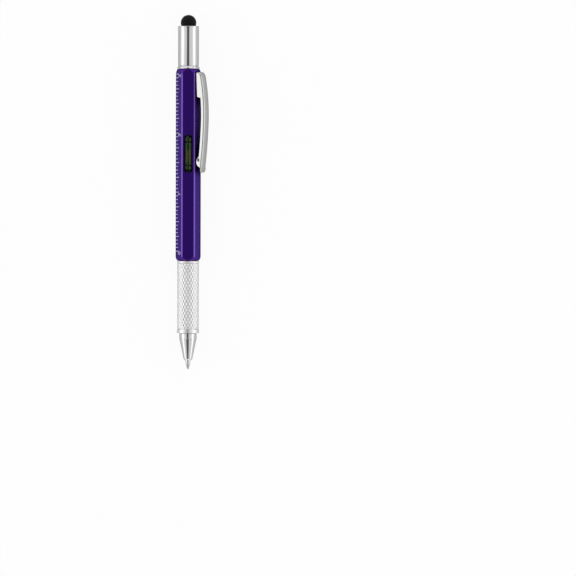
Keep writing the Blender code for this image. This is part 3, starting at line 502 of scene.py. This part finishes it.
def build_barrel():
    """Hexagonal barrel: rounded lower end, chamfered top, bores, level slot and clip slot."""
    stations = []
    drop = HEX_REACH - 4.55
    sweep = (2.0**2 + drop**2) / (2 * drop)
    steps = 10
    stations.append((BARREL_BOTTOM, 4.4))
    for step in range(steps + 1):
        rise = 2.0 * step / steps
        inset = sweep - math.sqrt(sweep**2 - (2.0 - rise) ** 2)
        stations.append((BARREL_BOTTOM + 0.1 + rise * 0.95, HEX_REACH - inset))
    stations += [
        (FLAT_END, HEX_REACH),
        (FLAT_END + 0.9, HEX_REACH - 0.2),
        (FLAT_END + 1.5, 4.97),
        (BARREL_TOP - 0.25, 4.85),
        (BARREL_TOP - 0.08, 4.74),
        (BARREL_TOP, 4.6),
    ]
    rows = [[(x, BARREL_BOTTOM + 6.0, z) for x, z in circle_row(3.62)]]
    rows.append([(x, BARREL_BOTTOM, z) for x, z in circle_row(3.62)])
    rows += [[(x, y, z) for x, z in hexagon_row(limit)] for y, limit in stations]
    rows.append([(x, BARREL_TOP, z) for x, z in circle_row(3.645)])
    rows.append([(x, BARREL_TOP - 9.0, z) for x, z in circle_row(3.645)])
    rows = [[(x, y, z + AXIS_HEIGHT) for x, y, z in row] for row in rows]
    points, faces = skin(rows)
    barrel = add_piece("barrel_shell", points, faces, LACQUER, "barrel", ["hex_barrel"], 25)

    outline = slot_shape(16.6, 3.87)
    cut(barrel, *slab(outline, 6.05, 10.5, lambda a, b, depth: (a, LEVEL_CENTRE + b, depth)), 25)
    lug = rounded([(-1.0, 30.95, 0.3), (1.0, 30.95, 0.3), (1.0, 38.55, 0.3), (-1.0, 38.55, 0.3)])
    cut(barrel, *slab(lug, 3.6, 5.6, clip_space), 25)
    rounded_weights(barrel)
    return barrel


def clip_space(across, y, height):
    """A point over the clip's flat: across towards the level, y along the pen, height from the axis."""
    turn = math.radians(60)
    x = height * math.sin(turn) - across * math.cos(turn)
    z = height * math.cos(turn) + across * math.sin(turn)
    return (x, y, z + AXIS_HEIGHT)


# ---------------------------------------------------------------- ruler

INCH = 25.4
ZERO_MARK = -37.15
TICK_HALF_WIDTH = 0.14
TICK_END = 5.12
QUARTER_START = 2.55
SIXTEENTH_START = 3.3
NUMERAL_SIZE = 1.75
NUMERAL_LINE = 0.3
NUMERAL_DROP = 1.5
NUMERAL_SIDE = 1.1


def ruler_space(across, y, lift):
    """A point on the ruler's flat: across from its upper edge, lift above the flat."""
    turn = math.radians(60)
    half_flat = HEX_FLAT * math.tan(math.radians(30))
    along = across - half_flat
    x = -(HEX_FLAT + lift) * math.sin(turn) - along * math.cos(turn)
    z = (HEX_FLAT + lift) * math.cos(turn) - along * math.sin(turn)
    return (x, y, z + AXIS_HEIGHT)


def ribbon(points, width, closed=False):
    """Outline quads of a line with thickness, as lists of four (a, b) corners."""
    count = len(points)
    sides = []
    for index, point in enumerate(points):
        here = Vector(point)
        before = Vector(points[index - 1]) if index or closed else here
        after = Vector(points[(index + 1) % count]) if index < count - 1 or closed else here
        ways = [way.normalized() for way in (here - before, after - here) if way.length > 1e-9]
        along = sum(ways, Vector((0, 0))).normalized()
        across = Vector((-along.y, along.x)) * width / 2 / max(0.5, along.dot(ways[0]))
        sides.append((here + across, here - across))
    quads = []
    for index in range(count if closed else count - 1):
        after = (index + 1) % count
        quads.append((sides[index][0], sides[after][0], sides[after][1], sides[index][1]))
    return quads


def arc_points(centre, radii, start, end, steps):
    """Points of an ellipse's arc, angles in degrees."""
    angles = [math.radians(start + (end - start) * step / steps) for step in range(steps + 1)]
    return [
        (centre[0] + radii[0] * math.cos(angle), centre[1] + radii[1] * math.sin(angle)) for angle in angles
    ]


def numeral(value):
    """A numeral as lines in a box 0.7 wide and 1 high."""
    if value == 0:
        return [(arc_points((0.35, 0.5), (0.3, 0.45), 0, 345, 23), True)]
    if value == 1:
        return [([(0.16, 0.78), (0.38, 0.96), (0.38, 0.03)], False)]
    if value == 2:
        top = arc_points((0.35, 0.67), (0.28, 0.28), 160, -35, 12)
        return [([*top, (0.08, 0.06), (0.66, 0.06)], False)]
    upper = arc_points((0.33, 0.72), (0.25, 0.23), 150, -80, 10)
    lower = arc_points((0.33, 0.28), (0.3, 0.25), 80, -150, 12)
    return [([*upper, *lower], False)]


def build_ruler():
    """Printed inch scale: a mark each sixteenth, longer ones each quarter, and its numerals."""
    points, faces = [], []

    def add_quads(quads, place):
        for quad in quads:
            start = len(points)
            for lift in (-0.01, 0.015):
                points.extend(place(corner, lift) for corner in quad)
            faces.append((start, start + 1, start + 2, start + 3))
            faces.append((start + 4, start + 5, start + 6, start + 7))
            for k in range(4):
                after = (k + 1) % 4
                faces.append((start + k, start + after, start + 4 + after, start + 4 + k))

    for mark in range(49):
        y = ZERO_MARK + INCH * mark / 16
        inner = QUARTER_START if mark % 4 == 0 else SIXTEENTH_START
        low, high = y - TICK_HALF_WIDTH, y + TICK_HALF_WIDTH
        quads = [((inner, low), (TICK_END, low), (TICK_END, high), (inner, high))]
        add_quads(quads, lambda corner, lift: ruler_space(corner[0], corner[1], lift))
    for value in range(4):
        base = ZERO_MARK + INCH * value - NUMERAL_DROP
        for line, closed in numeral(value):
            outline = [(a * NUMERAL_SIZE, b * NUMERAL_SIZE) for a, b in line]
            quads = ribbon(outline, NUMERAL_LINE, closed)
            add_quads(quads, lambda spot, lift: ruler_space(NUMERAL_SIDE + spot[1], base + spot[0], lift))
    ruler = add_piece("ruler_scale", points, faces, PRINT, "barrel", (), 30, 0.0)
    return ruler


# ---------------------------------------------------------------- round pieces


def turned_piece(name, profile, sides, finish, body, replaced, steps=4, centre=(0.0, AXIS_HEIGHT)):
    """A lathe piece with rounded edges, from (radius, y, fillet) points."""
    outline = rounded(profile, steps, profile[0][0] > 0)
    points, faces = lathe(outline, sides, centre)
    return add_piece(name, points, faces, finish, body, replaced)


def build_collar():
    """Flared chrome ring with its threaded neck."""
    pitch = 0.6
    turns = 5
    columns = 72
    per_turn = 8
    low = COLLAR_TOP + 0.15
    outline = rounded(
        [
            (NECK_BORE, COLLAR_BOTTOM - 6.0, 0.1),
            (NECK_RADIUS - 0.02, COLLAR_BOTTOM - 6.0, 0.1),
            (NECK_RADIUS - 0.02, COLLAR_BOTTOM, 0.02),
            (4.78, COLLAR_BOTTOM, 0.08),
            (4.8, COLLAR_BOTTOM + 0.42, 0.1),
            (4.56, COLLAR_BOTTOM + 0.68, 0.12),
            (4.44, COLLAR_BOTTOM + 0.82, 0.05),
            (4.38, COLLAR_BOTTOM + 0.9, 0.02),
            (4.46, COLLAR_BOTTOM + 0.98, 0.04),
            (4.47, COLLAR_TOP, 0.06),
            (NECK_RADIUS, COLLAR_TOP, 0.02),
        ],
        3,
        False,
    )
    rows = [ring_row(radius, y, columns) for radius, y in outline]
    levels = int((NECK_TOP - 0.25 - low) / pitch * per_turn)
    for level in range(levels + 1):
        y = low + (NECK_TOP - 0.25 - low) * level / levels
        fade = min(1.0, (y - low) / 0.3, (NECK_TOP - 0.25 - y) / 0.3)
        row = []
        for column in range(columns):
            angle = 2 * math.pi * column / columns
            wave = 0.5 - 0.5 * math.cos(2 * math.pi * ((y - low) / pitch - column / columns))
            radius = NECK_RADIUS - 0.2 * max(0.0, fade) * wave
            row.append((radius * math.sin(angle), y, AXIS_HEIGHT + radius * math.cos(angle)))
        rows.append(row)
    rows.append(ring_row(NECK_RADIUS - 0.15, NECK_TOP, columns))
    rows.append(ring_row(NECK_BORE, NECK_TOP, columns))
    points, faces = skin(rows, False)
    width = columns
    last = (len(rows) - 1) * width
    for column in range(width):
        after = (column + 1) % width
        faces.append((last + column, last + after, after, column))
    add_piece("flared_collar", points, faces, BRIGHT, "barrel", ["threaded_collar"])


def build_cap():
    """Bright cap with a small lip round the stylus."""
    profile = [
        (CAP_BORE + 0.2, CAP_BOTTOM, 0.05),
        (CAP_RADIUS - 0.02, CAP_BOTTOM, 0.12),
        (CAP_RADIUS, CAP_TOP - 0.62, 0.02),
        (CAP_RADIUS - 0.03, CAP_TOP - 0.5, 0.03),
        (CAP_RADIUS, CAP_TOP - 0.38, 0.03),
        (CAP_RADIUS, CAP_TOP, 0.3),
        (3.5, CAP_TOP, 0.12),
        (3.45, CAP_TOP - 0.25, 0.05),
        (2.06, CAP_TOP - 0.25, 0.02),
        (2.06, CAP_TOP - 1.0, 0.02),
        (CAP_BORE, CAP_TOP - 1.0, 0.1),
        (CAP_BORE, CAP_BOTTOM + 0.2, 0.05),
    ]
    turned_piece("cap_tube", profile, 128, BRIGHT, "cap", ["stylus_cap"])


def build_stylus():
    """Soft dome of the stylus, pinched a little where it enters the cap."""
    outline = [(0.0, STYLUS_BOTTOM + 2.7), (2.06, STYLUS_BOTTOM + 2.7), (2.06, STYLUS_BOTTOM - 0.2)]
    outline += [(3.1, STYLUS_BOTTOM - 0.2), (3.16, STYLUS_BOTTOM + 0.1), (3.26, STYLUS_BOTTOM + 0.5)]
    start = STYLUS_BOTTOM + 1.35
    for step in range(25):
        angle = math.radians(-14 + 104 * step / 24)
        outline.append((3.35 * math.cos(angle), start + 3.35 * math.sin(angle)))
    outline[-1] = (0.0, STYLUS_BOTTOM + 4.7)
    points, faces = lathe(outline, 96)
    add_piece("stylus_dome", points, faces, RUBBER, "cap", ["stylus_tip"])


def build_bearing():
    """Thin flange with a soft shine between the barrel and the grip."""
    profile = [
        (3.0, FLANGE_BOTTOM, 0.02),
        (4.7, FLANGE_BOTTOM, 0.04),
        (4.8, FLANGE_BOTTOM + 0.1, 0.05),
        (4.8, FLANGE_TOP - 0.12, 0.05),
        (4.65, FLANGE_TOP, 0.05),
        (3.5, FLANGE_TOP, 0.05),
        (3.5, FLANGE_TOP + 3.0, 0.1),
        (3.0, FLANGE_TOP + 3.0, 0.1),
    ]
    turned_piece("twist_flange", profile, 128, SOFT, "barrel", ["twist_bearing"])


def ring_row(radius, y, columns):
    """A ring of points about the pen's axis."""
    angles = [2 * math.pi * column / columns for column in range(columns)]
    return [(radius * math.sin(angle), y, AXIS_HEIGHT + radius * math.cos(angle)) for angle in angles]


def build_grip():
    """Knurled grip: two sets of crossed helical grooves leave small pointed diamonds."""
    around = 26
    pitch = 2.62
    columns = around * 10
    low = GRIP_BOTTOM + 2.05
    high = GRIP_TOP - 0.3
    levels = int((high - low) / pitch * 16)
    depth = 0.22
    groove = 0.5

    rows = [ring_row(3.0, GRIP_BOTTOM + 4.0, columns), ring_row(3.0, GRIP_BOTTOM + 0.1, columns)]
    outline = [
        (3.1, GRIP_BOTTOM, 0.0),
        (4.74, GRIP_BOTTOM, 0.16),
        (4.74, GRIP_BOTTOM + 1.5, 0.12),
        (4.42, GRIP_BOTTOM + 1.62, 0.06),
        (4.42, GRIP_BOTTOM + 1.85, 0.06),
        (4.46, GRIP_BOTTOM + 1.95, 0.0),
    ]
    rows += [ring_row(radius, y, columns) for radius, y in rounded(outline, 4, False)]
    for level in range(levels + 1):
        y = low + (high - low) * level / levels
        row = []
        for column in range(columns):
            height = 1.0
            for turn in (1, -1):
                phase = around * column / columns + turn * (y - low) / pitch
                away = abs(phase - math.floor(phase + 0.5))
                height = min(height, away / groove)
            radius = GRIP_RADIUS - depth * (1 - height)
            angle = 2 * math.pi * column / columns
            row.append((radius * math.sin(angle), y, AXIS_HEIGHT + radius * math.cos(angle)))
        rows.append(row)
    for radius, y in ((4.6, high + 0.1), (4.55, GRIP_TOP - 0.08), (4.42, GRIP_TOP), (3.0, GRIP_TOP)):
        rows.append(ring_row(radius, y, columns))
    rows.append(ring_row(3.0, GRIP_TOP - 3.0, columns))
    points, faces = skin(rows)
    add_piece("knurled_grip", points, faces, KNURLED, "grip", ["grip_sleeve"], 50)


def build_nose():
    """Nose cone with a plain collar."""
    profile = [
        (1.325, NOSE_TOP + 4.0, 0.1),
        (1.325, NOSE_BOTTOM + 0.3, 0.05),
        (1.27, NOSE_BOTTOM, 0.02),
        (1.6, NOSE_BOTTOM, 0.08),
        (1.86, NOSE_BOTTOM + 0.32, 0.15),
        (3.66, CONE_TOP - 0.05, 0.12),
        (3.73, CONE_TOP + 0.12, 0.1),
        (3.73, NOSE_TOP, 0.12),
        (2.8, NOSE_TOP, 0.02),
        (2.8, NOSE_TOP + 4.0, 0.1),
    ]
    turned_piece("nose_shell", profile, 128, BRIGHT, "nose", ["nose_cone"])


def build_nib():
    """Refill's bright sleeve, its darker point and the ball."""
    sleeve = [
        (0.0, NIB + 2.2, 0.0),
        (0.86, NIB + 2.2, 0.04),
        (1.0, NIB + 2.5, 0.12),
        (1.16, NIB + 3.9, 0.1),
        (1.16, NIB + 5.6, 0.05),
        (0.0, NIB + 5.6, 0.0),
    ]
    turned_piece("refill_sleeve", sleeve, 64, BRIGHT, "refill", ["refill_tip"])
    point = [
        (0.0, NIB + 0.8, 0.0),
        (0.39, NIB + 0.8, 0.0),
        (0.39, NIB + 0.34, 0.02),
        (0.44, NIB + 0.3, 0.02),
        (0.5, NIB + 0.62, 0.05),
        (0.8, NIB + 2.1, 0.05),
        (0.78, NIB + 2.25, 0.02),
        (0.0, NIB + 2.25, 0.0),
    ]
    turned_piece("refill_point", point, 64, STEEL, "refill", ())
    radius = 0.35
    angles = [math.radians(degrees) for degrees in range(0, 181, 9)]
    ball = [(radius * math.sin(angle), NIB + radius - radius * math.cos(angle)) for angle in angles]
    ball[0] = (0.0, NIB)
    ball[-1] = (0.0, NIB + 0.7)
    points, faces = lathe(ball, 32)
    add_piece("rolling_ball", points, faces, STEEL, "refill", ["writing_ball"])


def build_seal():
    """Round rubber ring on the neck."""
    section = [
        (3.43 + 0.2 * math.cos(math.radians(a)), COLLAR_TOP + 1.65 + 0.2 * math.sin(math.radians(a)))
        for a in range(0, 360, 24)
    ]
    points, faces = lathe(section, 64)
    add_piece("neck_ring", points, faces, RUBBER, "barrel", ["cap_seal_ring"])


# ---------------------------------------------------------------- clip


def clip_height(distance):
    """Height of the clip's crest over its flat."""
    if distance < 18.4:
        return 4.5 - 1.93 * ((18.4 - distance) / 18.4) ** 2
    return 4.5 - 1.95 * ((distance - 18.4) / 24.8) ** 1.7


def ease(value):
    """Smooth step from 0 to 1."""
    value = max(0.0, min(1.0, value))
    return value * value * (3 - 2 * value)


def clip_section(distance):
    """Loop of (across, height) points of the clip: outer skin, then the hollow's skin."""
    crest = clip_height(distance)
    half = 2.17
    low = 0.35 + 0.4 * min(1.0, distance / 10.5)
    arm_depth = 2.0
    low += (crest - arm_depth - low) * ease((distance - 10.55) / 0.55)
    toe = (distance - 38.6) / 2.5
    if distance > 35.2:
        bow = 0.12 + 2.5 - 2.5 * math.sqrt(max(0.0, 1 - min(1.0, abs(toe)) ** 2))
        if distance <= 38.6:
            low = min(low, max(0.12, bow))
        else:
            low = max(0.12, min(bow, crest - 0.5))
    if distance > 41.1:
        low = crest - 0.5
    if distance < 2.2:
        fall = 1 - math.sqrt(max(0.0, 1 - ((2.2 - distance) / 2.2) ** 2))
        crest -= (crest - 1.55) * fall
    if distance < 1.2:
        half -= 0.45 * (1 - math.sqrt(max(0.0, 1 - ((1.2 - distance) / 1.2) ** 2)))
    if distance > CLIP_LENGTH - 1.5:
        share = (distance - CLIP_LENGTH + 1.5) / 1.5
        half -= 1.05 * (1 - math.sqrt(max(0.0, 1 - share**2)))
        crest -= 0.22 * share**2
    hollow = ease((distance - 10.9) / 0.6) * ease((35.0 - distance) / 0.6)
    bend = min(0.72, half * 0.8, (crest - low) * 0.45)
    crown = 0.1
    lip = min(0.08 + 0.32 * ease((distance - 10.0) / 1.5), half * 0.3, (crest - low) * 0.3)
    outer = []
    for step in range(1, 5):
        angle = math.radians(90 * step / 4)
        outer.append((half - lip + lip * math.sin(angle), low + lip - lip * math.cos(angle)))
    outer.append((half, crest - crown - bend))
    for step in range(1, 9):
        angle = math.radians(90 * step / 8)
        outer.append((half - bend + bend * math.cos(angle), crest - crown - bend + bend * math.sin(angle)))
    flat = half - bend
    for step in range(1, 6):
        share = 1 - step / 3
        outer.append((flat * share, crest - crown * share * share))
    outer += [(-a, h) for a, h in reversed(outer[:13])]
    outer.insert(0, (half - lip, low))
    outer.append((-half + lip, low))
    inner_half = max(half - 0.5, half * 0.5)
    roof = low + (crest - 0.5 - low) * hollow
    inner = [(-inner_half, low)]
    inner += [(-inner_half, roof - 0.3 * hollow), (-inner_half + 0.3, roof)]
    inner += [(-inner_half * 0.25, roof), (inner_half * 0.25, roof)]
    inner += [(inner_half - 0.3, roof), (inner_half, roof - 0.3 * hollow), (inner_half, low)]
    return outer + inner


def build_clip():
    """Pressed clip: solid root, hollow arm, and a toe that curls back to the barrel."""
    stations = [0.0, 0.08, 0.2, 0.4, 0.65, 0.95, 1.3, 1.7, 2.2, 3.0, 4.2, 5.5, 7.0, 8.5, 9.6, 10.3]
    stations += [10.55, 10.62, 10.7, 10.8, 10.9, 11.0, 11.1, 11.2, 11.35, 11.5, 12.5]
    stations += [12.5 + 1.25 * step for step in range(1, 18)]
    stations += [34.4, 34.5, 34.6, 34.7, 34.8, 34.9, 35.0, 35.2]
    stations += [35.2 + 0.2 * step for step in range(1, 29)]
    stations += [41.2, 41.6, 41.9, 42.2, 42.45, 42.65, 42.8, 42.92, 43.0, 43.06, CLIP_LENGTH]
    rows = []
    for distance in stations:
        section = clip_section(distance)
        rows.append([clip_space(a, CLIP_TOP - distance, HEX_FLAT + h) for a, h in section])
    points, faces = skin(rows)
    clip = add_piece("spring_clip", points, faces, SATIN, "clip", ["pocket_clip"], 32)
    hole = arc_points((37.8, 1.4), (0.8, 0.58), 0, 345, 23)
    through = slab(hole, -3.0, 3.0, lambda a, b, depth: clip_space(depth, CLIP_TOP - a, HEX_FLAT + b))
    cut(clip, *through, 32)
    rounded_weights(clip)
    lug = rounded([(-0.8, 31.25, 0.2), (0.8, 31.25, 0.2), (0.8, 38.25, 0.2), (-0.8, 38.25, 0.2)])
    points, faces = slab(lug, HEX_FLAT - 1.1, HEX_FLAT + 0.9, clip_space)
    add_piece("clip_root_lug", points, faces, SATIN, "clip")


# ---------------------------------------------------------------- level


def build_level():
    """Vial, plug, rings, liquid and bubble, all round and fine."""
    centre = (0.0, VIAL_HEIGHT)
    low, high = LEVEL_CENTRE - 7.54, LEVEL_CENTRE + 7.54
    bore = 1.42
    tube = [
        (0.0, low, 0.0),
        (1.5, low, 0.45),
        (1.5, high, 0.12),
        (bore, high, 0.05),
        (bore, low + 0.7, 0.5),
        (0.0, low + 0.7, 0.0),
    ]
    turned_piece("vial_tube", tube, 96, GLASS, "barrel", ["level_vial"], 6, centre)
    plug = [(0.0, high - 0.4, 0.0), (bore, high - 0.4, 0.1), (bore, high, 0.1), (0.0, high, 0.0)]
    turned_piece("vial_stopper", plug, 48, BLACK, "barrel", ["vial_plug"], 4, centre)
    for name, side in (("upper", 1), ("lower", -1)):
        y = LEVEL_CENTRE + side * 5.08
        ring = [(1.5, y - 0.28, 0.02), (1.57, y - 0.28, 0.03), (1.57, y + 0.28, 0.03), (1.5, y + 0.28, 0.02)]
        node = f"level_mark_{name}"
        turned_piece(f"index_ring_{name}", ring, 64, BLACK, "barrel", [node], 3, centre)
    liquid_profile = [
        (0.0, low + 0.69, 0.0),
        (bore + 0.004, low + 0.69, 0.5),
        (bore + 0.004, high - 0.4, 0.35),
        (0.0, high - 0.4, 0.0),
    ]
    nodes = ["level_fluid"]
    turned_piece("level_liquid", liquid_profile, 96, FLUID, "barrel", nodes, 6, centre)
    build_bubble(centre, bore + 0.012)


def build_bubble(centre, radius):
    """Long bubble against the top of the bore, with rounded ends."""
    middle = LEVEL_CENTRE + BUBBLE_REST
    steps, turns = 40, 24
    rows = []
    for step in range(steps + 1):
        share = math.cos(math.pi * (1 - step / steps))
        width = (1 - abs(share) ** 3.0) ** 0.5
        spread = math.radians(max(3.0, 84 * width))
        y = middle + 2.6 * share
        row = []
        for turn in range(turns + 1):
            angle = -spread + 2 * spread * turn / turns
            row.append((radius * math.sin(angle), y, centre[1] + radius * math.cos(angle)))
        for turn in range(1, turns):
            angle = spread - 2 * spread * turn / turns
            depth = radius * math.cos(spread) - 0.12 * width
            row.append((radius * math.sin(angle) * 0.97, y, centre[1] + min(depth, radius * 0.9)))
        rows.append(row)
    points, faces = skin(rows)
    add_piece("air_bubble", points, faces, AIR, "bubble", ["level_bubble"], 60, 0.0)


# ---------------------------------------------------------------- carried-over nodes

CARRIED = {
    "bit_socket": BRASS,
    "bit_magnet": STEEL,
    "driver_bit": TOOL,
    "stylus_core": BRASS,
    "level_frame": BLACK,
    "cam_sleeve": BRASS,
    "guide_tube": BRASS,
    "snap_ring": STEEL,
    "friction_washer": PALE,
    "refill_carrier": PALE,
    "cross_pin": STEEL,
    "refill_tube": STEEL,
}


def dress_nodes():
    """Gives the CAD nodes that stay their finishes."""
    for name, finish in CARRIED.items():
        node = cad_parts[name]
        if not node.material_slots:
            node.data.materials.append(finish)
        for material_slot in node.material_slots:
            material_slot.material = finish


# ---------------------------------------------------------------- studio


def build_floor():
    """Plain white floor that keeps a faint shadow."""
    finish, tree, shader = new_finish("studio_floor", (0.9, 0.9, 0.9), 0.7)
    value = noise(tree, 8, 2.0)
    tone = colour_between(tree, value, (0.9, 0.9, 0.9), (0.92, 0.92, 0.92))
    tree.links.new(tone, shader.inputs["Base Color"])
    shader.inputs["Specular IOR Level"].default_value = 0.0
    rays = tree.nodes.new("ShaderNodeLightPath")
    mirrored = calculate(tree, "MAXIMUM", rays.outputs["Is Glossy Ray"], rays.outputs["Is Transmission Ray"])
    seen = calculate(tree, "MULTIPLY", rays.outputs["Is Camera Ray"], CAMERA_GLOW)
    share = calculate(tree, "ADD", seen, calculate(tree, "MULTIPLY", mirrored, MIRROR_GLOW))
    glow = tree.nodes.new("ShaderNodeEmission")
    glow.inputs["Color"].default_value = (1, 1, 1, 1)
    glow.inputs["Strength"].default_value = 1.0
    blend = tree.nodes.new("ShaderNodeMixShader")
    tree.links.new(share, blend.inputs["Fac"])
    tree.links.new(shader.outputs["BSDF"], blend.inputs[1])
    tree.links.new(glow.outputs["Emission"], blend.inputs[2])
    output = tree.nodes["Material Output"]
    tree.links.new(blend.outputs["Shader"], output.inputs["Surface"])
    points = [(-2500, -2500, 0), (2500, -2500, 0), (2500, 2500, 0), (-2500, 2500, 0)]
    floor = add_piece("floor", points, [(0, 1, 2, 3)], finish, None)


# Brightness of the sky by angle from overhead, across the pen: soft boxes low on both sides,
# an even sky between them and a dim strip where the camera stands
SKY = [
    (-90, 1.2),
    (-84, 1.45),
    (-77, 1.85),
    (-70, 2.15),
    (-63, 2.05),
    (-55, 1.62),
    (-45, 1.2),
    (-33, 1.0),
    (-17, 0.95),
    (-14, 0.14),
    (6, 0.14),
    (10, 0.95),
    (33, 0.98),
    (45, 1.15),
    (55, 1.5),
    (64, 2.1),
    (70, 2.1),
    (77, 1.6),
    (84, 1.25),
    (90, 1.05),
]


def build_light():
    """Sky with soft boxes at both sides, dimmer beyond the ends of the pen."""
    world = bpy.data.worlds.new("studio")
    bpy.context.scene.world = world
    world.use_nodes = True
    tree = world.node_tree
    background = tree.nodes["Background"]
    place = tree.nodes.new("ShaderNodeTexCoord")
    split = tree.nodes.new("ShaderNodeSeparateXYZ")
    tree.links.new(place.outputs["Generated"], split.inputs["Vector"])

    along = calculate(tree, "ABSOLUTE", split.outputs["Y"])
    widening = calculate(tree, "ADD", calculate(tree, "MULTIPLY", along, 1.5), 1.0)
    across = calculate(tree, "DIVIDE", split.outputs["X"], widening)
    angle = calculate(tree, "ARCTAN2", across, split.outputs["Z"])
    share = ramp_between(tree, angle, 0.0, 1.0, -math.pi / 2, math.pi / 2)
    ramp = tree.nodes.new("ShaderNodeValToRGB")
    elements = ramp.color_ramp.elements
    while len(elements) < len(SKY):
        elements.new(0.5)
    for element, (degrees, strength) in zip(elements, SKY):
        element.position = (degrees + 90) / 180
        element.color = (strength, strength, strength, 1)
    tree.links.new(share, ramp.inputs["Fac"])

    light = ramp.outputs["Color"]
    for start, end, level in ((0.5, 0.6, 0.75), (0.7, 0.8, 1.5)):
        band = ramp_between(tree, along, 0.0, 1.0, start, end)
        light = blend_colours(tree, band, light, (level, level, level))
    tree.links.new(light, background.inputs["Color"])
    background.inputs["Strength"].default_value = 1.0


def build_camera():
    """Looks straight down from far above, as the photograph does."""
    distance = 8.0
    width = MM_PER_PIXEL * PHOTO_PIXELS * MM
    data = bpy.data.cameras.new("camera")
    data.sensor_width = 36.0
    data.lens = 36.0 * distance / width
    data.clip_start = 0.1
    data.clip_end = 40.0
    camera = bpy.data.objects.new("camera", data)
    camera.location = (0.04303, -0.05293, distance + AXIS_HEIGHT * MM)
    camera.rotation_euler = (0, 0, math.radians(0.11))
    bpy.context.scene.collection.objects.link(camera)
    bpy.context.scene.camera = camera
    bpy.context.scene.view_settings.view_transform = "Standard"


build_camera()
build_light()
build_floor()
build_barrel()
build_ruler()
build_collar()
build_cap()
build_stylus()
build_bearing()
build_grip()
build_nose()
build_nib()
build_seal()
build_clip()
build_level()
dress_nodes()
